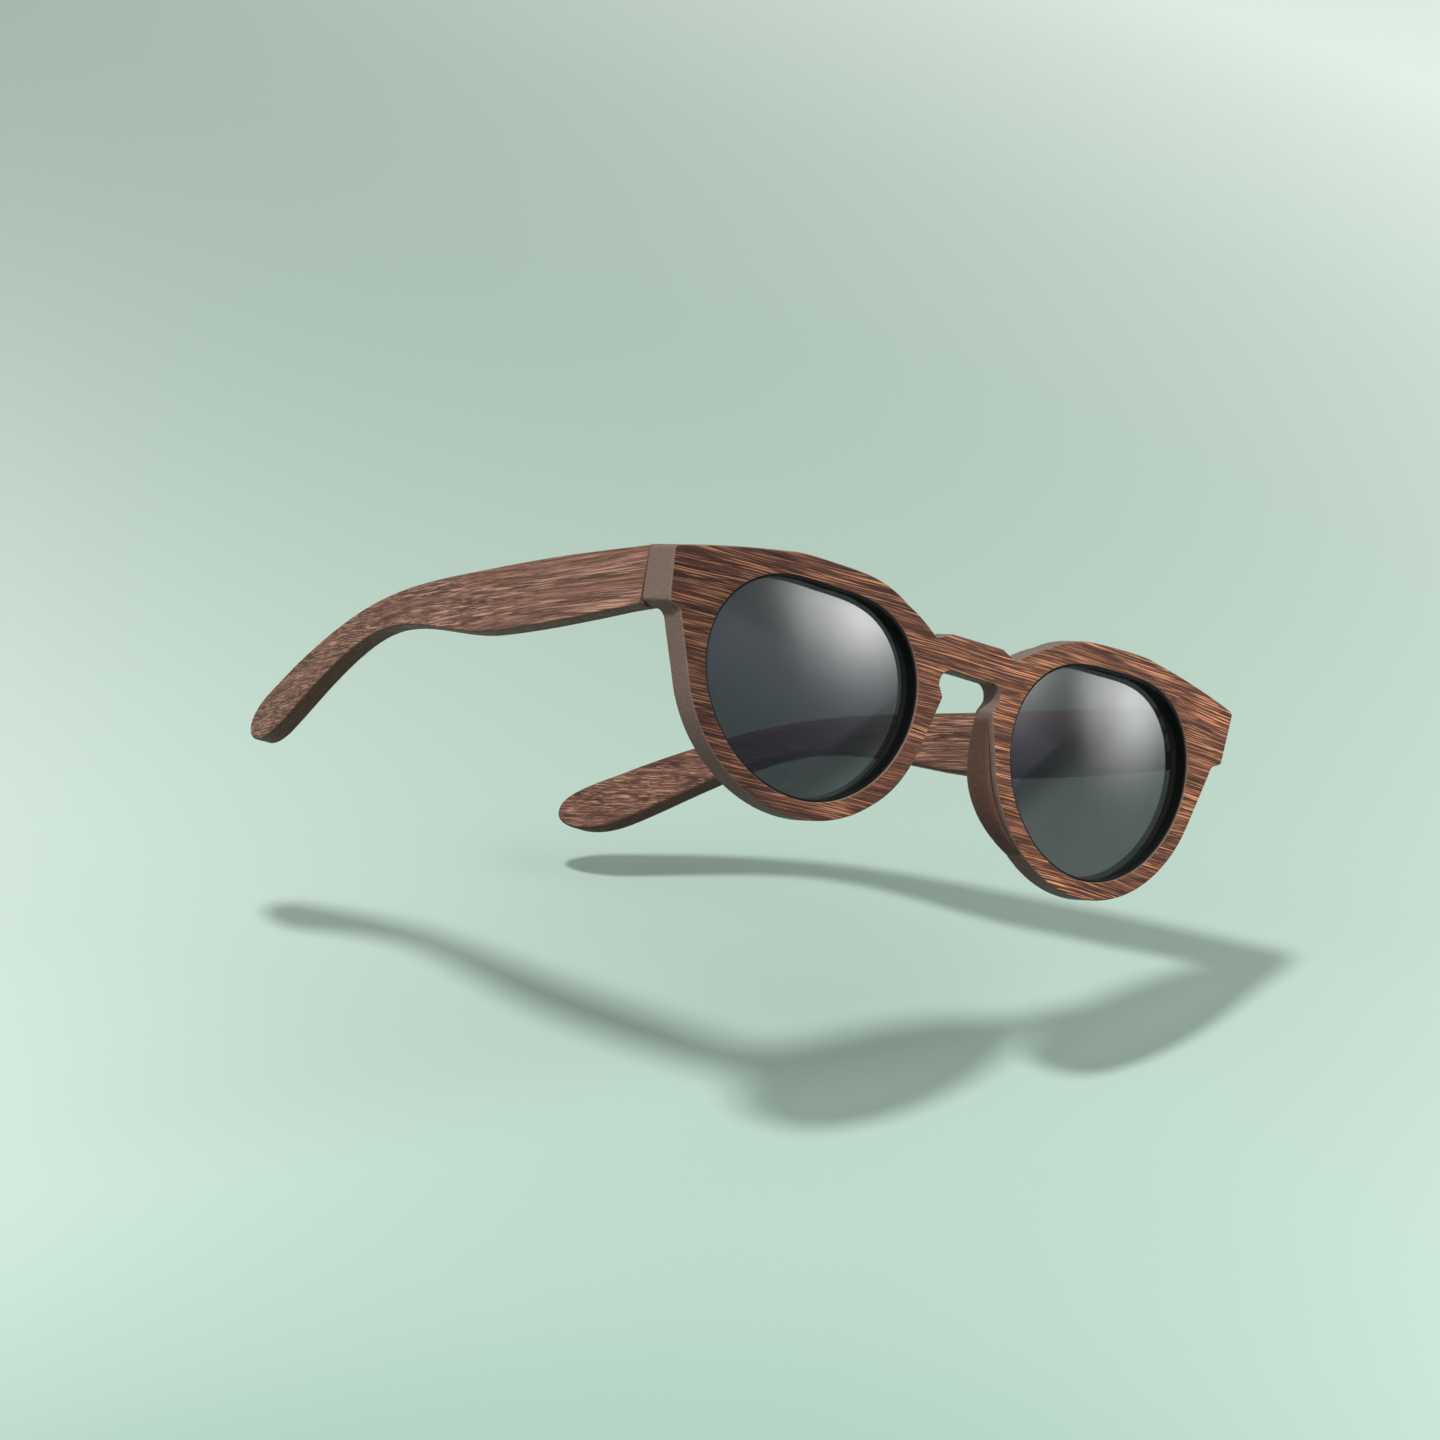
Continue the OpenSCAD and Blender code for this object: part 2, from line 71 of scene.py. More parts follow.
REACH = 135.5          # length of the temples, from the joint to the tip
TOE = math.radians(5)  # lean of the temples towards each other
BOW_R = 570.0          # radius that the temples are bowed on
JOINT_GAP = 0.25       # gap between an endpiece and its temple
HINGE_Z = 12.9         # height of the hinges' middle
BARREL_H = 8.0         # height of a hinge barrel
BARREL_R = 1.5         # radius of a hinge barrel
BARREL_GAP = 0.4       # gap between a barrel and its temple
LEAF_T = 1.0           # thickness of the hinge leaves
NORMAL_STEP = 0.01745  # angle to each side over which a rim's normal is measured
LENS_POINTS = 150      # points round a lens opening
RIM_STEP = 4           # degrees between the rim points that a line may graze
OUTLINE_STEP = 2.0     # degrees between the rim points of the front's outline

STEP_Z = END_BOTTOM - STEP_DROP
SETBACK = FRONT_T - LENS_LIP - LENS_T - 2 * SEAT
BARREL_OFF = BARREL_R + BARREL_GAP
END_X = FRONT_W / 2
ALONG = np.array([-math.sin(TOE), math.cos(TOE)])
OUTWARD = np.array([math.cos(TOE), math.sin(TOE)])


def setback(x):
    """How far the bent front face lies behind the bridge at x."""
    return FRONT_R - np.sqrt(FRONT_R ** 2 - np.asarray(x, float) ** 2)


# Outer rear corner of the left endpiece, and the left hinge's axis
JOINT = np.array([END_X, float(setback(END_X))]) + END_DEPTH * ALONG
AXIS = JOINT - (TEMPLE_T + BARREL_OFF) * OUTWARD


def lens_radius(a):
    """Radius of the opening at an angle round the lens centre: an oval with fuller corners."""
    return ((LENS_W + LENS_H) / 4 + SQUARE + (LENS_W - LENS_H) / 4 * np.cos(2 * a) + PANTO * np.sin(3 * a)
            + SWEEP * np.sin(2 * a) - SQUARE * np.cos(4 * a))


def lens_edge(a):
    a = np.asarray(a, float)
    return np.stack([LENS_X + lens_radius(a) * np.cos(a), lens_radius(a) * np.sin(a)], -1)


def lens_normal(a):
    t = lens_edge(a + NORMAL_STEP) - lens_edge(a - NORMAL_STEP)
    return np.stack([t[..., 1], -t[..., 0]], -1) / np.linalg.norm(t, axis=-1)[..., None]


def lens_outline(off):
    """The left lens opening, moved outward by off."""
    a = np.linspace(0, 2 * math.pi, LENS_POINTS, endpoint=False)
    return lens_edge(a) + off * lens_normal(a)


def rim_edge(a):
    """Outer edge of the left rim, whose width changes smoothly round the lens."""
    a = np.asarray(a, float)
    w = (np.sin(a) ** 2 * np.where(np.sin(a) > 0, RIM_TOP, RIM_BOTTOM)
         + np.cos(a) ** 2 * np.where(np.cos(a) > 0, RIM_TEMPLE, RIM_NASAL))
    return lens_edge(a) + w[..., None] * lens_normal(a)


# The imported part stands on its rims, with its middle at the origin
RIM = rim_edge(np.radians(np.arange(0, 360, RIM_STEP)))
BOW_SAG = BOW_R - math.sqrt(BOW_R ** 2 - REACH ** 2)
TIP_Y = AXIS[1] + REACH * math.cos(TOE) + (BARREL_OFF + TEMPLE_T - BOW_SAG) * math.sin(TOE)
LIFT = np.array([0.0, -TIP_Y / 2, -RIM[:, 1].min()])


def to_row(p):
    """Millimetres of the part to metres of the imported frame."""
    return (np.asarray(p, float) + LIFT) * 0.001


def unit(v):
    return v / np.maximum(np.linalg.norm(v, axis=-1, keepdims=True), 1e-12)


# Outlines
def grazing(p, side):
    """Degrees round the rim where a line from p just touches it, left (1) or right (-1) of its centre."""
    d, c = RIM - p, np.array([LENS_X, 0]) - p
    t = side * np.arctan2(c[0] * d[:, 1] - c[1] * d[:, 0], c[0] * d[:, 0] + c[1] * d[:, 1])
    return RIM_STEP * int(np.argmax(t))


def arc_corner(p, q, s, r, steps=9):
    """The corner q between p and s, as an arc of radius r."""
    if r == 0:
        return [q]
    u, v = unit(p - q), unit(s - q)
    half = math.acos(float(u @ v)) / 2
    c = q + unit(u + v) * r / math.sin(half)
    a, b = q + u * r / math.tan(half) - c, q + v * r / math.tan(half) - c
    a0, turn = math.atan2(a[1], a[0]), math.atan2(a[0] * b[1] - a[1] * b[0], a @ b)
    angles = [a0 + turn * i / steps for i in range(steps + 1)]
    return [c + r * np.array([math.cos(t), math.sin(t)]) for t in angles]


def rounded(corners):
    """A loop through corners given as x, z and radius."""
    n, out = len(corners), []
    for i in range(n):
        p, q, s = (np.array(corners[j % n][:2], float) for j in (i - 1, i, i + 1))
        out += arc_corner(p, q, s, corners[i][2])
    return np.array(out)


# Corners of the front's outline, as x, z and radius
BRIDGE_TOP = (6.2, 15.7, 1.5)
NOTCH = (9.7, 14.3, 1.0)
KEYHOLE_LIP = (6.0, 4.5, 1.0)
KEYHOLE_WAIST = (7.3, 6.5, 1.0)
KEYHOLE_TOP = (7.3, 9.3, 2.3)
END_ROUND = 0.9
STEP_ROUND = 1.4
BROW_SWELL = 0.3
LIP = np.array(KEYHOLE_LIP[:2])
LIP_A = grazing(LIP, -1) - 360


def on_rim(a0, a1):
    """Corners along the rim, from one angle down to another."""
    return [[*rim_edge(math.radians(a)), 0] for a in np.arange(a0, a1 - 0.1, -OUTLINE_STEP)]


def swell(p, q):
    """Corners of a slightly convex run from p to q."""
    p, q = np.array(p[:2]), np.array(q[:2])
    out = np.array([p[1] - q[1], q[0] - p[0]]) / np.linalg.norm(q - p)
    return [[*(p + (q - p) * t + 4 * t * (1 - t) * BROW_SWELL * out), 0] for t in np.linspace(0.1, 0.9, 9)]


def front_outline():
    """One half, from the bridge over the brow and round the rim to the keyhole, and its mirror image."""
    low = END_X - END_TAPER
    step = np.array([low - END_STEP, STEP_Z])
    brow = grazing(np.array([END_X, END_TOP]), -1)
    flank = grazing(step, 1) - 360
    top = on_rim(grazing(np.array(NOTCH[:2]), 1), brow)
    half = [BRIDGE_TOP, NOTCH] + swell(NOTCH, top[0]) + top + swell(top[-1], (END_X, END_TOP))
    half += [(END_X, END_TOP, END_ROUND), (low, END_BOTTOM, END_ROUND), (*step, STEP_ROUND)]
    half += on_rim(flank, LIP_A) + [KEYHOLE_LIP, KEYHOLE_WAIST, KEYHOLE_TOP]
    return rounded(half + [[-p[0], p[1], p[2]] for p in half[::-1]])


def area(loop):
    x, z = loop[:, 0], loop[:, 1]
    return 0.5 * float(np.sum(x * np.roll(z, -1) - np.roll(x, -1) * z))


def ccw(loop):
    return loop if area(loop) > 0 else loop[::-1].copy()


def cut_at(loop, lines, axis, beyond=0.0):
    """The loop with a point wherever it crosses one of the lines, at least beyond away from the middle."""
    out = []
    for i, p in enumerate(loop):
        q = loop[(i + 1) % len(loop)]
        out.append(p)
        if min(abs(p[0]), abs(q[0])) >= beyond:
            crossed = [c for c in lines if (p[axis] - c) * (q[axis] - c) < 0]
            shares = sorted((c - p[axis]) / (q[axis] - p[axis]) for c in crossed)
            out += [p + (q - p) * t for t in shares if 0.02 < t < 0.98]
    return np.array(out)


def inset(loop, d):
    """Moves each point to the left of the loop by d, with mitred corners."""
    e1, e2 = unit(loop - np.roll(loop, 1, 0)), unit(np.roll(loop, -1, 0) - loop)
    n1, n2 = np.stack([-e1[:, 1], e1[:, 0]], -1), np.stack([-e2[:, 1], e2[:, 0]], -1)
    m = (n1 + n2) / np.maximum(1 + np.sum(n1 * n2, -1), 0.25)[:, None]
    return loop + np.asarray(d).reshape(-1, 1) * m


def within(loop, pts):
    """Which of the points lie inside the loop."""
    x, z = pts[:, 0:1], pts[:, 1:2]
    ax, az, bx, bz = (ends[None, :, i] for ends in (loop, np.roll(loop, -1, 0)) for i in (0, 1))
    up = (az > z) != (bz > z)
    with np.errstate(divide="ignore", invalid="ignore"):
        cross = ax + (z - az) * (bx - ax) / (bz - az)
    return (np.sum(up & (x < cross), 1) % 2) == 1


# Mesh makers
def finish_piece(name, bm, body, node, material, weighted=True):
    """Makes the object, smooth and with its material, ties it to its body and hides the imported node that it
    stands in for.
    """
    bmesh.ops.remove_doubles(bm, verts=bm.verts, dist=1e-7)
    bmesh.ops.recalc_face_normals(bm, faces=bm.faces)
    mesh = bpy.data.meshes.new(name)
    bm.to_mesh(mesh)
    bm.free()
    for p in mesh.polygons:
        p.use_smooth = True
    obj = bpy.data.objects.new(name, mesh)
    bpy.context.scene.collection.objects.link(obj)
    mesh.materials.append(material)
    if weighted:
        m = obj.modifiers.new("even_shading", "WEIGHTED_NORMAL")
        m.mode, m.weight, m.keep_sharp = "FACE_AREA", 60, True
    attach(obj, body)
    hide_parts(node)
    return obj


def fill(bm, rings, verts, place, extra=()):
    """Triangles between the outer ring, the holes and any extra points, on one face of a slab."""
    pts, ids, edges = [], [], []
    for ring, vs in zip(rings, verts):
        s = len(pts)
        pts += [Vector(p) for p in ring]
        ids += list(vs)
        edges += [(s + i, s + (i + 1) % len(ring)) for i in range(len(ring))]
    for p in extra:
        pts.append(Vector(p))
        ids.append(bm.verts.new(place(np.array([p]))[0]))
    co, _, tris, origin, _, _ = delaunay_2d_cdt(pts, edges, [], 0, 1e-6)
    mid = np.array([[sum(co[i][k] for i in t) / 3 for k in (0, 1)] for t in tris])
    keep = within(rings[0], mid)
    for hole in rings[1:]:
        keep &= ~within(hole, mid)
    for t, kept in zip(tris, keep):
        vs = [ids[origin[i][0]] for i in t]
        if kept and len(set(vs)) == 3:
            bm.faces.new(vs)


def join_rings(bm, vs):
    n = len(vs[0])
    for a, b in zip(vs, vs[1:]):
        for i in range(n):
            bm.faces.new((a[i], a[(i + 1) % n], b[(i + 1) % n], b[i]))


def slab(bm, outer, holes, near, far, r_near, r_far, seg=4, inner=(), extra=()):
    """A plate with rounded edges. near and far give the 3-D points of its two faces at a depth inside it.
    inner points lie on both faces, extra ones on the far face. face_way is 0 on the faces, 1 on the sides."""
    way = bm.verts.layers.float.new("face_way")
    loops = [ccw(outer)] + [ccw(h)[::-1].copy() for h in holes]
    first, last = [], []
    for k, loop in enumerate(loops):
        rows = []
        for face, radius, order in ((near, r_near, range(seg + 1)), (far, r_far, range(seg, -1, -1))):
            r = radius(loop, k) if callable(radius) else np.full(len(loop), radius)
            for i in order:
                t = math.pi / 2 * i / seg
                flat = inset(loop, r * (1 - math.sin(t)))
                rows.append((flat, face(flat, r * (1 - math.cos(t))), math.sin(t)))
        vs = [[bm.verts.new(p) for p in pos] for _, pos, _ in rows]
        for ring, row in zip(vs, rows):
            for v in ring:
                v[way] = row[2]
        join_rings(bm, vs)
        first.append((rows[0][0], vs[0]))
        last.append((rows[-1][0], vs[-1]))
    fill(bm, [f[0] for f in first], [f[1] for f in first], lambda p: near(p, np.zeros(len(p))), inner)
    fill(bm, [f[0] for f in last], [f[1] for f in last], lambda p: far(p, np.zeros(len(p))), (*extra, *inner))


def rings_to_faces(bm, rings, caps=True):
    vs = [[bm.verts.new(p) for p in r] for r in rings]
    join_rings(bm, vs)
    if caps:
        bm.faces.new(vs[0])
        bm.faces.new(vs[-1])


OFF_AXIS = (0.3, 0.5, 0.81)  # a direction that no turned piece follows


def lathe(bm, profile, origin, axis, side, n):
    """Turns a (radius, height) profile round an axis."""
    axis = unit(np.array(axis, float))
    u = unit(np.cross(axis, OFF_AXIS))
    v = np.cross(axis, u)
    a = np.linspace(0, 2 * math.pi, n, endpoint=False)
    rings = []
    for r, h in profile:
        p = np.array(origin) + h * axis + r * (np.cos(a)[:, None] * u + np.sin(a)[:, None] * v)
        rings.append(to_row(p * [side, 1, 1]))
    rings_to_faces(bm, rings)


def soft_box(bm, lo, hi, turn, side, r):
    """A block with rounded edges. turn maps its own corners to the part."""
    b = bmesh.new()
    bmesh.ops.create_cube(b, size=1)
    lo, hi = np.array(lo, float), np.array(hi, float)
    for v in b.verts:
        v.co = Vector((lo + hi) / 2 + np.array(v.co) * (hi - lo))
    bmesh.ops.bevel(b, geom=list(b.edges), offset=r, segments=3, profile=0.5, affect="EDGES")
    made = {v: bm.verts.new(to_row(turn(np.array(v.co)) * [side, 1, 1])) for v in b.verts}
    for f in b.faces:
        bm.faces.new([made[v] for v in f.verts])
    b.free()


def in_joint(p):
    """A point of the temple joint's own frame, x outward from the hinge axis and y along the temple."""
    xy = AXIS + p[0] * OUTWARD + p[1] * ALONG
    return np.array([xy[0], xy[1], p[2]])


def as_is(p):
    return np.asarray(p, float)


def store_grain(obj, rule):
    """Keeps where each point lies in the plank, in millimetres: along the grain, across it and through it."""
    co = np.empty(len(obj.data.vertices) * 3)
    obj.data.vertices.foreach_get("co", co)
    g = rule(co.reshape(-1, 3) * 1000 - LIFT)
    at = obj.data.attributes.new("grain", "FLOAT_VECTOR", "POINT")
    at.data.foreach_set("vector", np.ascontiguousarray(g, dtype=np.float32).ravel())


# Materials
class Nodes:
    """Short names for building the node tree of a new material, or of a world."""

    def __init__(self, owner):
        self.owner = bpy.data.materials.new(owner) if isinstance(owner, str) else owner
        self.owner.use_nodes = True
        self.tree = self.owner.node_tree
        self.shader = self.tree.nodes.get("Principled BSDF")

    def add(self, kind, **props):
        n = self.tree.nodes.new(kind)
        for key, v in props.items():
            setattr(n, key, v)
        return n

    def link(self, a, b):
        self.tree.links.new(a, b)

    def surface(self, shader):
        self.link(shader.outputs[0], self.tree.nodes["Material Output"].inputs["Surface"])

    def noise(self, vec, scale, detail=2.0, rough=0.5):
        mp = self.add("ShaderNodeMapping")
        mp.inputs["Scale"].default_value = scale
        self.link(vec, mp.inputs["Vector"])
        n = self.add("ShaderNodeTexNoise")
        n.inputs["Scale"].default_value = 1.0
        n.inputs["Detail"].default_value = detail
        n.inputs["Roughness"].default_value = rough
        self.link(mp.outputs["Vector"], n.inputs["Vector"])
        return n.outputs["Fac"]

    def spread(self, fac, a, b, lo=0.0, hi=1.0):
        """A smooth step from lo to hi as fac goes from a to b."""
        n = self.add("ShaderNodeMapRange", interpolation_type="SMOOTHSTEP")
        for key, v in (("From Min", a), ("From Max", b), ("To Min", lo), ("To Max", hi)):
            n.inputs[key].default_value = v
        self.link(fac, n.inputs["Value"])
        return n.outputs["Result"]

    def math(self, op, a, b):
        n = self.add("ShaderNodeMath", operation=op)
        for i, v in enumerate((a, b)):
            if isinstance(v, (int, float)):
                n.inputs[i].default_value = v
            else:
                self.link(v, n.inputs[i])
        return n.outputs[0]

    def clamp(self, value, lo, hi):
        return self.math("MINIMUM", self.math("MAXIMUM", value, lo), hi)

    def mix(self, fac, a, b):
        n = self.add("ShaderNodeMix", data_type="RGBA")
        self.link(fac, n.inputs[0])
        for s, v in ((n.inputs[6], a), (n.inputs[7], b)):
            if isinstance(v, tuple):
                s.default_value = (*v, 1)
            else:
                self.link(v, s)
        return n.outputs[2]

    def bump(self, height, strength, distance):
        n = self.add("ShaderNodeBump")
        n.inputs["Strength"].default_value = strength
        n.inputs["Distance"].default_value = distance
        self.link(height, n.inputs["Height"])
        self.link(n.outputs["Normal"], self.shader.inputs["Normal"])


def lin(r, g, b):
    """sRGB 0-255 to linear."""
    return tuple(c / 255 / 12.92 if c <= 10 else ((c / 255 + 0.055) / 1.055) ** 2.4 for c in (r, g, b))


def scaled(colour, share):
    return tuple(c * share for c in colour)


# Wood: noise cells in a millimetre along the grain, across it and through it
SWAY_CELLS = (0.025, 0.1, 0.1)
BROAD_CELLS = (0.025, 0.2, 0.2)
BAND_CELLS = (0.04, 1.0, 0.5)
STREAK_CELLS = (0.055, 3.6, 1.2)
HAIR_CELLS = (0.09, 6.0, 2.0)
FIBRE_CELLS = (0.3, 6.0, 3.0)
DOT_CELLS = (0.5, 2.5, 2.5)
SWAY_MM = 3.0             # how far the grain wanders, from side to side
PAINTED_LIGHT_X = (-70, 30)       # stretch across the front over which painted light and shade scale the wood from darker at -x to lighter at +x
FIBRE_SHARE, FIBRE_TONE = 0.6, 0.45  # most of the fibres' dark, and its tone
ZONE_LEAST = 0.3          # least of the streaks that a broad zone keeps
HAIR_SHARE = 0.85         # thin streaks, as a share of the bold ones
DOT_TONES = (0.84, 1.14)  # tones of the dots on a cut side

# Noise values between which each layer of the wood comes in
NOISE_SPAN = (0.3, 0.7)  # nearly all of a noise's values
BAND_IN = (0.34, 0.66)
FIBRE_IN = (0.5, 0.68)
ZONE_IN = (0.32, 0.6)
HAIR_IN = (0.57, 0.635)
STREAK_IN = (0.575, 0.64)
SIDE_IN = (0.25, 0.8)  # values of face_way


def wood(name, dark, mid, tan, streaks, side_tint, side_share, painted_light_ramp=None):
    """Straight-grained wood: thin light streaks on a banded brown, and plain cut sides."""
    net = Nodes(name)
    vec = net.add("ShaderNodeAttribute", attribute_name="grain").outputs["Vector"]
    sway = net.noise(vec, SWAY_CELLS, 1.0)
    lift = net.add("ShaderNodeCombineXYZ")
    net.link(net.math("MULTIPLY", net.math("SUBTRACT", sway, 0.5), SWAY_MM), lift.inputs["Y"])
    moved = net.add("ShaderNodeVectorMath", operation="ADD")
    net.link(vec, moved.inputs[0])
    net.link(lift.outputs[0], moved.inputs[1])
    v = moved.outputs[0]
    broad = net.noise(v, BROAD_CELLS, 2.0)
    band = net.noise(v, BAND_CELLS, 2.0, 0.55)
    streak = net.noise(v, STREAK_CELLS, 1.5)
    hair = net.noise(v, HAIR_CELLS, 1.5)
    fibre = net.noise(v, FIBRE_CELLS, 2.0, 0.6)
    base = net.mix(net.spread(band, *BAND_IN), dark, mid)
    base = net.mix(net.spread(fibre, *FIBRE_IN, 0.0, FIBRE_SHARE), base, scaled(dark, FIBRE_TONE))
    zone = net.spread(broad, *ZONE_IN, ZONE_LEAST, 1.0)
    thin = net.math("MULTIPLY", net.spread(hair, *HAIR_IN, 0.0, HAIR_SHARE * streaks), zone)
    base = net.mix(thin, base, tan)
    bold = net.math("MULTIPLY", net.spread(streak, *STREAK_IN, 0.0, streaks), zone)
    base = net.mix(bold, base, tan)
    # Painted light and shade: the colour is scaled darker towards -x and lighter towards +x, for light that
    # falls more on the +x half
    if painted_light_ramp:
        run = net.add("ShaderNodeSeparateXYZ")
        net.link(vec, run.inputs[0])
        painted_lit = net.add("ShaderNodeVectorMath", operation="SCALE")
        net.link(base, painted_lit.inputs[0])
        net.link(net.spread(run.outputs["X"], *PAINTED_LIGHT_X, *painted_light_ramp), painted_lit.inputs["Scale"])
        base = painted_lit.outputs[0]
    way = net.add("ShaderNodeAttribute", attribute_name="face_way").outputs["Fac"]
    dots = net.noise(vec, DOT_CELLS, 3.0, 0.7)
    cut = net.mix(net.spread(dots, *NOISE_SPAN), *(scaled(side_tint, t) for t in DOT_TONES))
    base = net.mix(net.math("MULTIPLY", net.spread(way, *SIDE_IN), side_share), base, cut)
    net.link(base, net.shader.inputs["Base Color"])
    net.link(net.spread(fibre, *NOISE_SPAN, 0.5, 0.68), net.shader.inputs["Roughness"])
    net.shader.inputs["Specular IOR Level"].default_value = 0.2
    height = net.math("ADD", net.math("MULTIPLY", streak, 0.7), net.math("MULTIPLY", fibre, -0.5))
    net.bump(height, 0.35, 0.00012)
    return net.owner


# Other materials: noise cells in a metre
WORN_CELLS = (900, 900, 900)
BRUSH_CELLS = (400, 400, 9000)
RUBBER_CELLS = (2500, 2500, 2500)
HAZE_CELLS = (60, 60, 60)
LENS_TONES = (0.0025, 0.0055, 0.0065), (0.0045, 0.0075, 0.0095)
LENS_COAT = (0.95, 0.87, 1.0, 1)
LENS_ALPHA = 0.765
LENS_IOR = 1.9


def metal(name, tone, rough):
    """Brushed steel with worn patches."""
    net = Nodes(name)
    place = net.add("ShaderNodeTexCoord").outputs["Object"]
    worn = net.noise(place, WORN_CELLS, 3.0, 0.6)
    brush = net.noise(place, BRUSH_CELLS)
    net.link(net.mix(net.spread(worn, 0.35, 0.7), scaled(tone, 0.8), tone), net.shader.inputs["Base Color"])
    net.link(net.spread(brush, *NOISE_SPAN, rough * 0.75, rough * 1.3), net.shader.inputs["Roughness"])
    net.shader.inputs["Metallic"].default_value = 1.0
    net.bump(brush, 0.08, 0.00003)
    return net.owner


def black_rubber():
    net = Nodes("black_edging")
    fine = net.noise(net.add("ShaderNodeTexCoord").outputs["Object"], RUBBER_CELLS)
    net.link(net.mix(fine, (0.0012, 0.0012, 0.0012), (0.004, 0.004, 0.004)), net.shader.inputs["Base Color"])
    net.link(net.spread(fine, *NOISE_SPAN, 0.5, 0.65), net.shader.inputs["Roughness"])
    net.shader.inputs["Specular IOR Level"].default_value = 0.15
    net.bump(fine, 0.1, 0.00002)
    return net.owner


def tinted_glass():
    """Dark coated glass that lets some of what is behind it through."""
    net = Nodes("tinted_lens")
    haze = net.noise(net.add("ShaderNodeTexCoord").outputs["Object"], HAZE_CELLS)
    net.link(net.mix(haze, *LENS_TONES), net.shader.inputs["Base Color"])
    net.link(net.spread(haze, *NOISE_SPAN, 0.05, 0.07), net.shader.inputs["Roughness"])
    net.shader.inputs["Alpha"].default_value = LENS_ALPHA
    net.shader.inputs["IOR"].default_value = LENS_IOR
    net.shader.inputs["Specular Tint"].default_value = LENS_COAT
    return net.owner


# The front wood's ramp is painted light and shade: darker on the -x half, lighter on the +x half
FRONT_WOOD = wood("front_wood", dark=lin(48, 27, 20), mid=lin(80, 48, 37), tan=lin(184, 125, 90), streaks=0.8,
                  side_tint=lin(104, 88, 80), side_share=0.95, painted_light_ramp=(0.55, 1.45))
# The temples' cut sides are darker and browner than the front's: partly their own tone, partly painted shade
# for their undersides
RIGHT_WOOD = wood("right_temple_wood", dark=lin(78, 54, 45), mid=lin(117, 84, 72), tan=lin(182, 142, 120),
                  streaks=0.75, side_tint=lin(86, 62, 50), side_share=0.85)
# The left temple's wood is darker than the right's: painted shade, as that temple lies in shade behind the
# front
SHADED_LEFT_WOOD = wood("left_temple_wood_painted_shade", dark=lin(68, 46, 38), mid=lin(102, 72, 61), tan=lin(166, 127, 106),
                 streaks=0.75, side_tint=lin(80, 58, 47), side_share=0.85)
PAD_WOOD = wood("pad_wood", dark=lin(68, 46, 37), mid=lin(84, 59, 49), tan=lin(98, 72, 60), streaks=0.4,
                side_tint=lin(80, 58, 48), side_share=0.7)
LENS_TINT = tinted_glass()
EDGING = black_rubber()
HINGE_STEEL = metal("hinge_steel", (0.62, 0.60, 0.56), 0.3)
SCREW_STEEL = metal("screw_steel", (0.66, 0.65, 0.63), 0.24)


# Front
RAMP_IN, RAMP_OUT = 63.6, 64.1  # where the back steps from the rim to the thick endpiece
COVE_R = 1.8     # radius of the cove under the endpiece
COVE_LIP = 0.12  # height over which the cove ends
COVE_X = 62.5    # where the outline starts to need the cove's levels
COVE_LEVELS = (-2.2, -1.8, -1.35, -0.95, -0.62, -0.36, -0.17, -0.05, 0.0, COVE_LIP, 0.4)
FACE_EDGE, FACE_EDGE_END = 0.32, 0.3  # rounding of the front face's edge, and at the endpieces
BACK_EDGE, BACK_EDGE_END = 0.5, 0.14  # rounding of the back's edge, and at the joints
EDGE_FADE = 2            # length over which the rounding changes
OPENING_SHARE = 0.7      # rounding of the openings, as a share of the outline's
GRID_STEP = 2.0          # spacing of the points inside the faces
GRID_MARGIN = 1.1        # their least distance from the outline
OPENING_MARGIN = 0.9     # their least distance from the openings
RAMP_MARGIN = 0.9        # their least distance from the step to the endpiece
GRID_X, GRID_Z = 66, 22  # how far they reach, across and up
RAMP_BEFORE, RAMP_AFTER = 0.6, 0.5  # lines of points just inside and outside that step
RAMP_LINES = 6           # lines of points across it
END_LEVELS = (STEP_Z + 1.2, END_TOP - 0.4, 9)  # lowest, highest and number of the endpiece's levels
STATION_MARGIN = 0.62    # least distance of the endpiece's points from the outline


def rear_y(x, z):
    """Back of the front: the bent rim, then the thick endpiece at the joint, with a cove below it."""
    x = np.abs(np.asarray(x, float))
    rim = FRONT_R - np.sqrt((FRONT_R - FRONT_T) ** 2 - x ** 2)
    end = JOINT[1] + (x - JOINT[0]) * math.tan(TOE)
    t = np.clip((x - RAMP_IN) / (RAMP_OUT - RAMP_IN), 0, 1)
    t = t * t * (3 - 2 * t)
    u = np.clip((z - STEP_Z) / COVE_R + 1, 0, 1)
    cove = COVE_R * (1 - np.sqrt(1 - u * u)) / (END_DEPTH - FRONT_T)
    cove += (1 - cove) * np.clip((z - STEP_Z) / COVE_LIP, 0, 1)
    return rim + (end - rim) * t * cove


def front_point(xz, y):
    """A point of the front. The endpiece's outer side leans in towards the joint."""
    most = JOINT[0] - (y - JOINT[1]) * math.tan(TOE)
    x = np.sign(xz[:, 0]) * np.minimum(np.abs(xz[:, 0]), most)
    return to_row(np.stack([x, y, xz[:, 1]], -1))


def front_near(xz, d):
    return front_point(xz, setback(xz[:, 0]) + d)


def front_far(xz, d):
    return front_point(xz, rear_y(xz[:, 0], xz[:, 1]) - d)


def soft_edge(most, least):
    """Rounding that goes from most to least at the endpieces, and is smaller in the openings."""
    def rule(loop, k):
        if k:
            return np.full(len(loop), most * OPENING_SHARE)
        t = np.clip((np.abs(loop[:, 0]) - (RAMP_IN - EDGE_FADE)) / EDGE_FADE, 0, 1)
        return most + (least - most) * t
    return rule


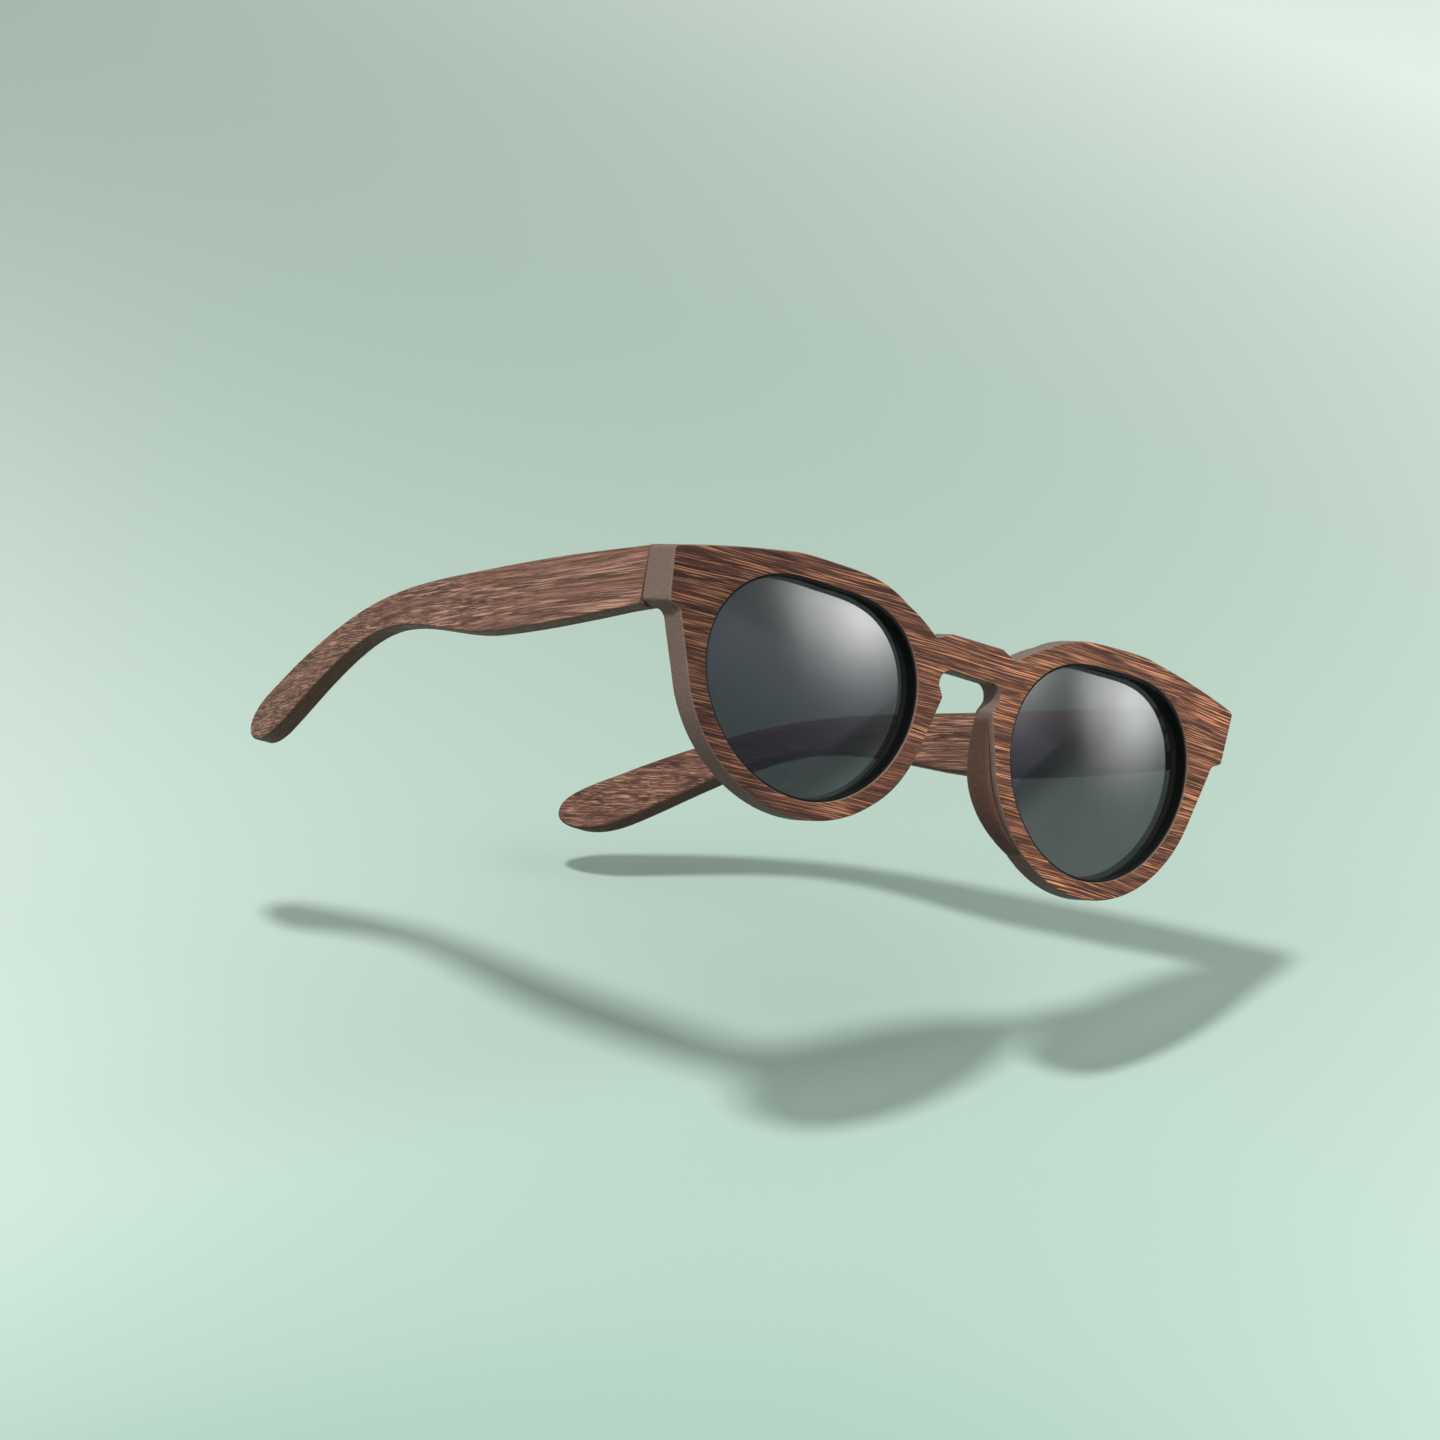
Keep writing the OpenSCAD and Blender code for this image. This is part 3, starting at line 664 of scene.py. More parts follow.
columns = [RAMP_IN - RAMP_BEFORE, *np.linspace(RAMP_IN, RAMP_OUT, RAMP_LINES), RAMP_OUT + RAMP_AFTER]
columns = [s * c for s in (1, -1) for c in columns]
levels = STEP_Z + np.array(COVE_LEVELS)
outline = cut_at(cut_at(front_outline(), columns, 0), levels, 1, COVE_X)
openings = [lens_outline(0), lens_outline(0) * [-1, 1]]
end_levels = (*levels, *np.linspace(*END_LEVELS))
stations = np.array([(x, z) for x in columns for z in end_levels])
stations = stations[within(inset(ccw(outline), STATION_MARGIN), stations)]
grid_x, grid_z = (np.arange(-reach, reach + 1, GRID_STEP) for reach in (GRID_X, GRID_Z))
grid = np.array([(x, z) for x in grid_x for z in grid_z])
kept_clear = lens_outline(OPENING_MARGIN)
near_opening = within(kept_clear, grid) | within(kept_clear, grid * [-1, 1])
grid = grid[within(inset(ccw(outline), GRID_MARGIN), grid) & ~near_opening]
grid = grid[np.abs(grid[:, 0]) < RAMP_IN - RAMP_MARGIN]
bm = bmesh.new()
slab(bm, outline, openings, front_near, front_far, soft_edge(FACE_EDGE, FACE_EDGE_END),
     soft_edge(BACK_EDGE, BACK_EDGE_END), inner=grid, extra=stations)
front = finish_piece("front", bm, "front", "front_frame", FRONT_WOOD)
store_grain(front, lambda p: np.stack([p[:, 0], p[:, 2], p[:, 1] - setback(p[:, 0])], -1))


# Temples: stations along them, with a value and its slope there
JOINT_MID = END_TOP - TEMPLE_H / 2
BELLY_S, NECK_S, PADDLE_S, TIP_S = 46, 88.5, 107.5, 122.5
MID_LINE = ((0, 0, -0.09), (BELLY_S, -3.7, -0.06), (NECK_S, -5.7, -0.23), (PADDLE_S, -12.4, -0.44),
            (TIP_S, -19.4, -0.47), (REACH, -23.4, -0.2))
HEIGHT = ((0, TEMPLE_H, 0.08), (BELLY_S, 11.6, -0.05), (NECK_S, 6.1, 0.02), (PADDLE_S, 8.0, 0.13),
          (TIP_S, 9.6, 0), (REACH, 9.6, 0))
TIP_POWER = 2.2  # fullness of the rounded tip
TIP_STEPS = 16
EVEN_START, EVEN_STEPS = 0.8, 84  # where the evenly spaced points start, and their number
OUTER_EDGE = 0.4   # rounding of a temple's outer edges
INNER_EDGE = 0.7   # rounding of its inner edges
JOINT_EDGE = 0.14  # rounding of both at the joint
EDGE_START, EDGE_RUN = 0.5, 5  # where the rounding starts to grow, and the length over which it does
GRAIN_LEAN = 0.06  # slope of the temples' grain
PLANK_APART = 60   # distance in the wood between the planks of the two temples


def through(stations, s):
    """The smooth curve through the stations, at s."""
    i = max(k for k in range(len(stations) - 1) if stations[k][0] <= s)
    (s0, p0, m0), (s1, p1, m1) = stations[i], stations[i + 1]
    l = s1 - s0
    u = (s - s0) / l
    return (p0 * (2 * u ** 3 - 3 * u ** 2 + 1) + p1 * (3 * u ** 2 - 2 * u ** 3)
            + l * (m0 * (u ** 3 - 2 * u ** 2 + u) + m1 * (u ** 3 - u ** 2)))


def tip_round(s):
    """Share of the height that is left at s, inside the rounded tip."""
    if s <= TIP_S:
        return 1.0
    return max(0.0, 1 - ((s - TIP_S) / (REACH - TIP_S)) ** TIP_POWER) ** (1 / TIP_POWER)


def temple_edge_z(s, way):
    return JOINT_MID + through(MID_LINE, s) + way * tip_round(s) * through(HEIGHT, s) / 2


def temple_point(sz, off, side):
    x = -BOW_R + np.sqrt((BOW_R - off) ** 2 - sz[:, 0] ** 2)
    p = JOINT + sz[:, :1] * ALONG + x[:, None] * OUTWARD
    return to_row(np.stack([side * p[:, 0], p[:, 1], sz[:, 1]], -1))


def temple_edge(most):
    def rule(loop, k):
        t = np.clip((loop[:, 0] - EDGE_START) / EDGE_RUN, 0, 1)
        return JOINT_EDGE + (most - JOINT_EDGE) * t
    return rule


def temple_grain(side):
    def rule(p):
        q = p[:, :2] * [side, 1] - JOINT
        s = q @ ALONG
        return np.stack([s, p[:, 2] + GRAIN_LEAN * s, PLANK_APART * side + q @ OUTWARD], -1)
    return rule


places = [JOINT_GAP, *np.linspace(EVEN_START, TIP_S, EVEN_STEPS)]
places += [TIP_S + (REACH - TIP_S) * math.sin(math.pi / 2 * i / TIP_STEPS) for i in range(1, TIP_STEPS + 1)]
upper = [(s, temple_edge_z(s, 1)) for s in places]
lower = [(s, temple_edge_z(s, -1)) for s in places[:-1]]
temple_loop = ccw(np.array(upper + lower[::-1]))


def make_temple(word, side, material):
    def outer(sz, d):
        return temple_point(sz, d, side)

    def inner(sz, d):
        return temple_point(sz, TEMPLE_T - d, side)

    bm = bmesh.new()
    slab(bm, temple_loop, [], outer, inner, temple_edge(OUTER_EDGE), temple_edge(INNER_EDGE), seg=5)
    temple = finish_piece("temple_" + word, bm, word + "_temple", "temple_" + word, material)
    store_grain(temple, temple_grain(side))


make_temple("left", 1, SHADED_LEFT_WOOD)
make_temple("right", -1, RIGHT_WOOD)


# Lenses and edging
LENS_DOME = 0.9     # how far a lens swells forward
DOME_SHARE = 0.95   # share of the lens that the swell covers
LENS_SHARES = (0.004, *np.linspace(0.05, DOME_SHARE, 19), 0.98)  # rings of a lens, out from its middle
LENS_EDGE_R = 0.15  # rounding of a lens's rim
EDGING_NEAR, EDGING_FAR = 0.14, 0.1  # rounding of the edging in front and behind


def bent(xz, depth, side):
    """Points at a depth behind the bent front face."""
    y = FRONT_R - np.sqrt((FRONT_R - depth) ** 2 - xz[:, 0] ** 2)
    return to_row(np.stack([side * xz[:, 0], y, xz[:, 1]], -1))


def lens_face(share, depth, side):
    """One ring of a lens, a share of the way out from its middle, with the lens's slight dome."""
    centre = np.array([LENS_X, 0.0])
    dome = LENS_DOME * max(0.0, 1 - (share / DOME_SHARE) ** 2)
    return bent(centre + (lens_outline(LENS_BITE) - centre) * share, depth - dome, side)


def make_lens(word, side):
    """Rings from the middle of the front face, round the rim, to the middle of the back."""
    loop = lens_outline(LENS_BITE)
    face, back = SETBACK + SEAT, SETBACK + SEAT + LENS_T
    rings = [lens_face(f, face, side) for f in LENS_SHARES]
    for depth, way, start, end in ((face, 1, 0, math.pi / 2), (back, -1, math.pi / 2, 0)):
        for t in np.linspace(start, end, 4):
            flat = inset(loop, LENS_EDGE_R * (1 - math.sin(t)))
            rings.append(bent(flat, depth + way * LENS_EDGE_R * (1 - math.cos(t)), side))
    rings += [lens_face(f, back, side) for f in LENS_SHARES[::-1]]
    bm = bmesh.new()
    rings_to_faces(bm, rings)
    finish_piece("lens_" + word, bm, "front", "lens_" + word, LENS_TINT, weighted=False)


def make_edging(word, side):
    def near(xz, d):
        return bent(xz, EDGING_IN + d, side)

    def far(xz, d):
        return bent(xz, SETBACK - d, side)

    bm = bmesh.new()
    slab(bm, lens_outline(-SEAT), [lens_outline(-SEAT - EDGING_T)], near, far, EDGING_NEAR, EDGING_FAR, seg=3)
    finish_piece("edging_" + word, bm, "front", "lens_edging_" + word, EDGING)


# Nose pads
PAD_TOP = 1.2    # where a pad starts, along the cheek below the keyhole's lip
PAD_END = -132   # angle round the rim where it ends, in degrees
PAD_FRONT = 1.2  # depth of its front edge
PAD_BACK = 2.4   # how far it stands out behind the front
PAD_PROUD = 1.2  # its thickness in the middle
PAD_THIN = 0.08  # its thickness at the ends
PAD_CROWN, PAD_CORNER = 0.55, 0.7  # powers that square its section, outward and front to back

cheek = rim_edge(math.radians(LIP_A)) - LIP
run = unit(cheek)
cheek_way = np.array([run[1], -run[0]])
pad_path = [(LIP + s * run, cheek_way) for s in np.linspace(PAD_TOP, np.linalg.norm(cheek), 14)[:-1]]
pad_path += [(rim_edge(a), lens_normal(a)) for a in np.radians(np.linspace(LIP_A, PAD_END, 22))]
pad_mid = (pad_path[0][0][1] + pad_path[-1][0][1]) / 2
pad_half = pad_path[0][0][1] - pad_mid
pad_round = (pad_half ** 2 + PAD_BACK ** 2) / (2 * PAD_BACK)


def pad_section(p, way, share, side):
    """One ring of a pad: a rounded crown away from the rim, and a flat against it."""
    proud = PAD_THIN + (PAD_PROUD - PAD_THIN) * math.sin(math.pi * share)
    back = FRONT_T + PAD_BACK - pad_round + math.sqrt(max(0.0, pad_round ** 2 - (p[1] - pad_mid) ** 2))
    ring = []
    for t in np.linspace(0, math.pi, 17):
        q = p + (SEAT + proud * max(0.0, math.sin(t)) ** PAD_CROWN) * way
        deep = math.copysign(abs(math.cos(t)) ** PAD_CORNER, math.cos(t))
        ring.append([side * q[0], (PAD_FRONT + back) / 2 - (back - PAD_FRONT) / 2 * deep, q[1]])
    q = p + SEAT * way
    ring += [[side * q[0], y, q[1]] for y in np.linspace(back, PAD_FRONT, 7)[1:-1]]
    return to_row(ring)


def make_pad(word, side):
    bm = bmesh.new()
    cut = bm.verts.layers.float.new("face_way")
    last = len(pad_path) - 1
    rings_to_faces(bm, [pad_section(p, way, i / last, side) for i, (p, way) in enumerate(pad_path)])
    for v in bm.verts:
        v[cut] = 1.0
    name = "nose_pad_" + word
    pad = finish_piece(name, bm, "front", name, PAD_WOOD, weighted=False)
    store_grain(pad, lambda p: np.stack([p[:, 0], p[:, 2], p[:, 1]], -1))


for word, side in SIDES:
    make_lens(word, side)
    make_edging(word, side)
    make_pad(word, side)


# Hinges
KNUCKLE_GAP = 0.1  # gap between two knuckles
KNUCKLE_H = (BARREL_H - 2 * KNUCKLE_GAP) / 3
KNUCKLE_ROUND = 0.14  # rounding of a knuckle's rims
BORE_R = 0.76         # bore of the knuckles
ARM_IN = 1.0          # how far a knuckle's arm reaches inward from the axis
ARM_CLEAR = 0.8       # distance from the axis that clears the bore
ARM_SINK = 0.4        # how deep an arm starts in its leaf
ARM_TRIM = 0.02       # how much shorter an arm is than its knuckle, at each end
ARM_L = 1.8           # length of the temple leaf's arm
LEAF_CLEAR = 0.3      # gap between the front leaf and the barrel
LEAF_REACH = 3.8      # how far the front leaf reaches inward from the axis
LEAF_OVER = 0.2       # how much higher the front leaf is than the barrel
LEAF_PROUD = 0.3      # how far the temple leaf stands out of the wood
TEMPLE_LEAF_Y = 0.6   # start of the temple leaf, from the joint
TEMPLE_LEAF_L = 12.5  # length of the temple leaf
TEMPLE_LEAF_H = 5.2   # height of the temple leaf
LEAF_ROUND, TEMPLE_LEAF_ROUND = 0.18, 0.14  # rounding of the leaves' edges
ARM_ROUND, TEMPLE_ARM_ROUND = 0.06, 0.1  # rounding of the arms' edges
PIN_R, PIN_HEAD_R, PIN_HEAD_H = 0.7, 1.2, 0.6
PIN_TIP = ((0.5, 0), (0.66, 0.06), (PIN_R, 0.2))                 # radius and height
LEAF_SHANK = ((0.05, -3.5), (0.3, -3.1), (0.5, -2.8), (0.5, 0))  # radius and height
LEAF_HEAD_R, LEAF_HEAD_H = 0.85, 0.4
LEAF_SCREW_X, LEAF_SCREW_Z = 1.05, 2.5  # front leaf's screws, from its inner end and its middle
LEAF_SCREW_SHARES = (0.36, 0.78)        # temple leaf's screws, as shares of its length
LEAF_Y = AXIS[1] - BARREL_R - LEAF_T - LEAF_CLEAR
LEAF_X = AXIS[0] - LEAF_REACH
LEAF_H = BARREL_H + LEAF_OVER
TEMPLE_LEAF_X = BARREL_OFF - LEAF_PROUD
PIN_SLOT = (0.8, 0.6, 0)  # direction of the hinge screws' slots
FRONT_LEANS, TEMPLE_LEANS = (0.7, -0.5), (0.4, -0.4)  # leans of the leaf screws' slots
KNUCKLE_POINTS, SCREW_POINTS, SHANK_POINTS = 48, 36, 24  # points round each
UP = (0, 0, 1)
BACKWARD = (0, 1, 0)

# Screw heads, as shares of their radius and height
HEAD_BASE = ((0.95, 0), (1.0, 0.12), (1.0, 0.5), (0.985, 0.55))
HEAD_DOME = ((1.0, 0.45), (1.0, 0.62), (0.97, 0.74), (0.88, 0.88), (0.72, 0.97), (0.5, 1.0))
HEAD_SLOT = 0.13  # half the width of the slot
TINY_R = 0.001    # radius that closes a turned piece on its axis


def barrel(bm, z, side):
    """One knuckle: a tube round the hinge axis, with softened rims."""
    c, h = KNUCKLE_ROUND, KNUCKLE_H / 2
    outer = [(BARREL_R - c, h), (BARREL_R - c * 0.3, h - c * 0.3), (BARREL_R, h - c)]
    profile = [(BORE_R, -h)] + [(r, -y) for r, y in outer] + outer[::-1] + [(BORE_R, h), (BORE_R, -h)]
    a = np.linspace(0, 2 * math.pi, KNUCKLE_POINTS, endpoint=False)
    rings = []
    for r, y in profile:
        p = np.stack([AXIS[0] + r * np.cos(a), AXIS[1] + r * np.sin(a), np.full_like(a, HINGE_Z + z + y)], -1)
        rings.append(to_row(p * [side, 1, 1]))
    rings_to_faces(bm, rings, caps=False)


def slotted_head(bm, origin, axis, r, h, side, slot_way):
    """A low domed screw head: a base disc with two half discs on it, and the slot between them."""
    axis = unit(np.array(axis, float))
    w = unit(np.array(slot_way, float))
    v = np.cross(axis, w)
    base = [(r * f, h * z) for f, z in HEAD_BASE]
    lathe(bm, [(TINY_R, 0), *base, (TINY_R, base[-1][1])], origin, axis, side, SCREW_POINTS)
    for way in (1, -1):
        rings = []
        for f, z in HEAD_DOME:
            a0 = math.asin(min(1, r * HEAD_SLOT / (r * f)))
            a = np.linspace(a0, math.pi - a0, 20)
            around = np.cos(a)[:, None] * w + way * np.sin(a)[:, None] * v
            p = np.array(origin) + z * h * axis + r * f * around
            rings.append(to_row(p * [side, 1, 1]))
        rings_to_faces(bm, rings)


def leaf_screw(bm, at, axis, side, slot_way):
    slotted_head(bm, at, axis, LEAF_HEAD_R, LEAF_HEAD_H, side, slot_way)
    lathe(bm, LEAF_SHANK, at, axis, side, SHANK_POINTS)


def arm_span(z):
    """Lowest and highest z of the arm of a knuckle whose middle is z above the hinge's."""
    return HINGE_Z + z - KNUCKLE_H / 2 + ARM_TRIM, HINGE_Z + z + KNUCKLE_H / 2 - ARM_TRIM


def make_front_leaf(word, side):
    """A plate with two knuckles, each on an arm that leaves the bore open."""
    bm = bmesh.new()
    x, y, outer = AXIS[0], LEAF_Y + ARM_SINK, AXIS[0] + BARREL_R
    soft_box(bm, (LEAF_X, LEAF_Y, HINGE_Z - LEAF_H / 2), (outer, LEAF_Y + LEAF_T, HINGE_Z + LEAF_H / 2),
             as_is, side, LEAF_ROUND)
    for z in (-KNUCKLE_H - KNUCKLE_GAP, KNUCKLE_H + KNUCKLE_GAP):
        low, high = arm_span(z)
        barrel(bm, z, side)
        soft_box(bm, (x - ARM_IN, y, low), (x - BORE_R, AXIS[1], high), as_is, side, ARM_ROUND)
        soft_box(bm, (x + BORE_R, y, low), (outer, AXIS[1], high), as_is, side, ARM_ROUND)
        soft_box(bm, (x - ARM_IN, y, low), (outer, AXIS[1] - ARM_CLEAR, high), as_is, side, ARM_ROUND)
    name = "front_hinge_leaf_" + word
    finish_piece(name, bm, "front", name, HINGE_STEEL)


def make_temple_leaf(word, side):
    bm = bmesh.new()
    low, high = arm_span(0)
    outer = TEMPLE_LEAF_X + LEAF_T
    barrel(bm, 0, side)
    soft_box(bm, (ARM_CLEAR, JOINT_GAP, low), (outer, JOINT_GAP + ARM_L, high),
             in_joint, side, TEMPLE_ARM_ROUND)
    soft_box(bm, (TEMPLE_LEAF_X, TEMPLE_LEAF_Y, HINGE_Z - TEMPLE_LEAF_H / 2),
             (outer, TEMPLE_LEAF_Y + TEMPLE_LEAF_L, HINGE_Z + TEMPLE_LEAF_H / 2),
             in_joint, side, TEMPLE_LEAF_ROUND)
    name = "temple_hinge_leaf_" + word
    finish_piece(name, bm, word + "_temple", name, HINGE_STEEL)


def make_hinge_screw(word, side):
    bm = bmesh.new()
    end = BARREL_H / 2
    pin = [(r, h - end) for r, h in PIN_TIP] + [(PIN_R, end)]
    lathe(bm, pin, (AXIS[0], AXIS[1], HINGE_Z), UP, side, SCREW_POINTS)
    slotted_head(bm, (AXIS[0], AXIS[1], HINGE_Z + end), UP, PIN_HEAD_R, PIN_HEAD_H, side, PIN_SLOT)
    name = "hinge_screw_" + word
    finish_piece(name, bm, "front", name, SCREW_STEEL)


def make_leaf_screws(word, side):
    """Two screws in the front leaf and two in the temple leaf, with their slots at different angles."""
    bm = bmesh.new()
    for z, lean in zip((-LEAF_SCREW_Z, LEAF_SCREW_Z), FRONT_LEANS):
        at = (LEAF_X + LEAF_SCREW_X, LEAF_Y + LEAF_T, HINGE_Z + z)
        leaf_screw(bm, at, BACKWARD, side, (0.7, 0, lean))
    name = "front_leaf_screws_" + word
    finish_piece(name, bm, "front", name, SCREW_STEEL)

    bm = bmesh.new()
    inward = np.array([-OUTWARD[0], -OUTWARD[1], 0])
    for share, lean in zip(LEAF_SCREW_SHARES, TEMPLE_LEANS):
        at = in_joint(np.array([TEMPLE_LEAF_X, TEMPLE_LEAF_Y + share * TEMPLE_LEAF_L, HINGE_Z]))
        leaf_screw(bm, at, inward, side, (lean * ALONG[0], lean * ALONG[1], 0.9))
    name = "temple_leaf_screws_" + word
    finish_piece(name, bm, word + "_temple", name, SCREW_STEEL)


for word, side in SIDES:
    make_front_leaf(word, side)
    make_temple_leaf(word, side)
    make_hinge_screw(word, side)
    make_leaf_screws(word, side)


# Camera: angles in radians, aim in millimetres of the part, distance in metres
CAM_AZIMUTH, CAM_ELEVATION, CAM_ROLL = -0.7187, -0.1253, 0.1736
CAM_AIM = (-20.468, 40.58, -3.5705)
CAM_DISTANCE = 2.02187
CAM_LENS, CAM_SENSOR = 287.7, 36


def axes_matrix(x, y, z, at):
    return Matrix(((x.x, y.x, z.x, at.x), (x.y, y.y, z.y, at.y), (x.z, y.z, z.z, at.z), (0, 0, 0, 1)))


level = math.cos(CAM_ELEVATION)
back = Vector((math.sin(CAM_AZIMUTH) * level, -math.cos(CAM_AZIMUTH) * level, math.sin(CAM_ELEVATION)))
flat_right = (-back).cross(Vector(UP)).normalized()
flat_up = flat_right.cross(-back)
right = flat_right * math.cos(CAM_ROLL) + flat_up * math.sin(CAM_ROLL)
up = -flat_right * math.sin(CAM_ROLL) + flat_up * math.cos(CAM_ROLL)
target = Vector(to_row(CAM_AIM))
cam_data = bpy.data.cameras.new("camera")
cam_data.sensor_width = CAM_SENSOR
cam_data.lens = CAM_LENS
cam_data.clip_end = 50
cam = bpy.data.objects.new("camera", cam_data)
cam.matrix_world = axes_matrix(right, up, back, target + back * CAM_DISTANCE)
bpy.context.scene.collection.objects.link(cam)
bpy.context.scene.camera = cam


# Floor, light and background, in metres and in the camera's own directions: right, up and back
# Painted light and shade on the floor: its colour goes from a dark to a pale tone by place, for light that
# falls unevenly across it
FLOOR_PAINTED_SHADE, FLOOR_PAINTED_LIGHT = (0.242, 0.342, 0.285), (0.735, 0.836, 0.758)
FLOOR_UNSEEN = (0.1, 0.1, 0.1)  # floor colour for the light that it bounces
FLOOR_TILT = math.radians(22)
FLOOR_DROP = 0.072  # how far the floor lies below the camera's aim
FLOOR_HALF = 6.0
FLOOR_SPAN_X, FLOOR_SPAN_Y, FLOOR_MID_Y = 0.13, 0.35, 0.18
FLOOR_END = 1.3     # spans from the middle at which the floor's tone stops changing
FLOOR_LEVEL = 0.17  # share of painted light at the middle of the floor's own x and y
# What each product of the spans from that middle adds to it
FLOOR_TERMS = (("x", -0.05), ("y", 0.03), ("xx", 0.13), ("xy", 0.09), ("xyy", 0.21), ("yyy", 0.2))
BACKDROP = lin(190, 214, 200)
ROOM_LIGHT = (0.5, 0.5, 0.5)
SIDE_LOW, SIDE_HIGH = (0.17, 0.18, 0.21), (0.46, 0.5, 0.58)  # wall to the right, low and high
FLAG = (0.34, 0.33, 0.35)   # darker board above that wall
FLAG_RISE = (0.04, 0.9585, -0.2824)  # direction in which the wall and the board rise
FLAG_START, FLAG_END = (0.0, 0.012), (0.3, 0.6)  # rise over which the board starts and ends
WALL_RISE = (-0.16, -0.01)  # rise over which the wall goes from low to high
WALL_SIDE, FLAG_SIDE = (0.6, 0.75), (0.7, 0.85)  # how far to the right the wall and the board start
GLOW_FALL = 2.3             # how fast a glow fades from its middle

# Name, place, half width and half height, and strength
GLOWS = (
    ("glow_near", (0.2234, 0.0453, 0.0476), (0.094, 0.078), 8.0),
    ("glow_far", (0.2692, 0.0165, -0.0521), (0.074, 0.074), 6.0),
)

# Name, place, diameter and watts
LAMPS = (
    ("key", (-0.102, 0.602, 0.661), 0.1, 9.0),
    ("front_fill", (0.9, 0.45, 0.75), 0.9, 10.0),
    ("side_fill", (-0.9, 0.35, 0.6), 0.8, 2.5),
    ("rim_fill", (0.9, 0.05, -0.8), 0.35, 16.0),
    ("rear_fill", (-0.45, 0.05, -1.0), 0.5, 12.0),
)


def in_camera(offset):
    return right * offset[0] + up * offset[1] + back * offset[2]


def panel(name, half, matrix, material):
    """A square of the stage."""
    mesh = bpy.data.meshes.new(name)
    corners = [(a * half, b * half, 0) for a, b in ((-1, -1), (1, -1), (1, 1), (-1, 1))]
    mesh.from_pydata(corners, [], [(0, 1, 2, 3)])
    mesh.materials.append(material)
    obj = bpy.data.objects.new(name, mesh)
    obj.matrix_world = matrix
    bpy.context.scene.collection.objects.link(obj)
    return obj


def shade_painted_floor():
    """A matt floor with painted light and shade: its colour goes from dark to pale by place. It can't be seen
    from below.
    """
    net = Nodes("shade_painted_floor")
    place = net.add("ShaderNodeSeparateXYZ")
    net.link(net.add("ShaderNodeTexCoord").outputs["Object"], place.inputs[0])
    x = net.math("DIVIDE", place.outputs["X"], FLOOR_SPAN_X)
    y = net.math("DIVIDE", net.math("SUBTRACT", place.outputs["Y"], FLOOR_MID_Y), FLOOR_SPAN_Y)
    spans = {"x": net.clamp(x, -FLOOR_END, FLOOR_END), "y": net.clamp(y, -FLOOR_END, FLOOR_END)}
    painted_light_share = FLOOR_LEVEL
    for letters, factor in FLOOR_TERMS:
        term = spans[letters[0]]
        for letter in letters[1:]:
            term = net.math("MULTIPLY", term, spans[letter])
        painted_light_share = net.math("ADD", painted_light_share, net.math("MULTIPLY", term, factor))
    tone = net.mix(net.clamp(painted_light_share, 0.0, 1.0), FLOOR_PAINTED_SHADE, FLOOR_PAINTED_LIGHT)
    seen = net.add("ShaderNodeLightPath").outputs
    mirrored = net.math("MAXIMUM", seen["Is Glossy Ray"], seen["Is Transmission Ray"])
    shown = net.math("MAXIMUM", seen["Is Camera Ray"], mirrored)
    net.link(net.mix(shown, FLOOR_UNSEEN, tone), net.shader.inputs["Base Color"])
    net.shader.inputs["Roughness"].default_value = 0.9
    net.shader.inputs["Specular IOR Level"].default_value = 0.0
    both = net.add("ShaderNodeMixShader")
    net.link(net.add("ShaderNodeNewGeometry").outputs["Backfacing"], both.inputs[0])
    net.link(net.shader.outputs[0], both.inputs[1])
    net.link(net.add("ShaderNodeBsdfTransparent").outputs[0], both.inputs[2])
    net.surface(both)
    return net.owner


def glow_panel(name, offset, reach, strength):
    """A graded softbox that shows only in reflections."""
    net = Nodes(name)
    share = net.add("ShaderNodeVectorMath", operation="DIVIDE")
    net.link(net.add("ShaderNodeTexCoord").outputs["Object"], share.inputs[0])
    share.inputs[1].default_value = (*reach, 1)
    far = net.add("ShaderNodeVectorMath", operation="LENGTH")
    net.link(share.outputs[0], far.inputs[0])
    fade = net.spread(far.outputs["Value"], 0.0, 1.0, 1.0, 0.0)
    shine = net.add("ShaderNodeEmission")
    net.link(net.math("POWER", fade, GLOW_FALL), shine.inputs["Strength"])
    shine.inputs["Color"].default_value = (*(strength / c for c in LENS_COAT[:3]), 1)
    both = net.add("ShaderNodeAddShader")
    net.link(shine.outputs[0], both.inputs[0])
    net.link(net.add("ShaderNodeBsdfTransparent").outputs[0], both.inputs[1])
    net.surface(both)
    at = target + in_camera(offset)
    z = (target - at).normalized()
    x = Vector(UP).cross(z).normalized()
    obj = panel(name, max(reach), axes_matrix(x, z.cross(x), z, at), net.owner)
    obj.visible_camera = obj.visible_diffuse = obj.visible_shadow = obj.visible_transmission = False


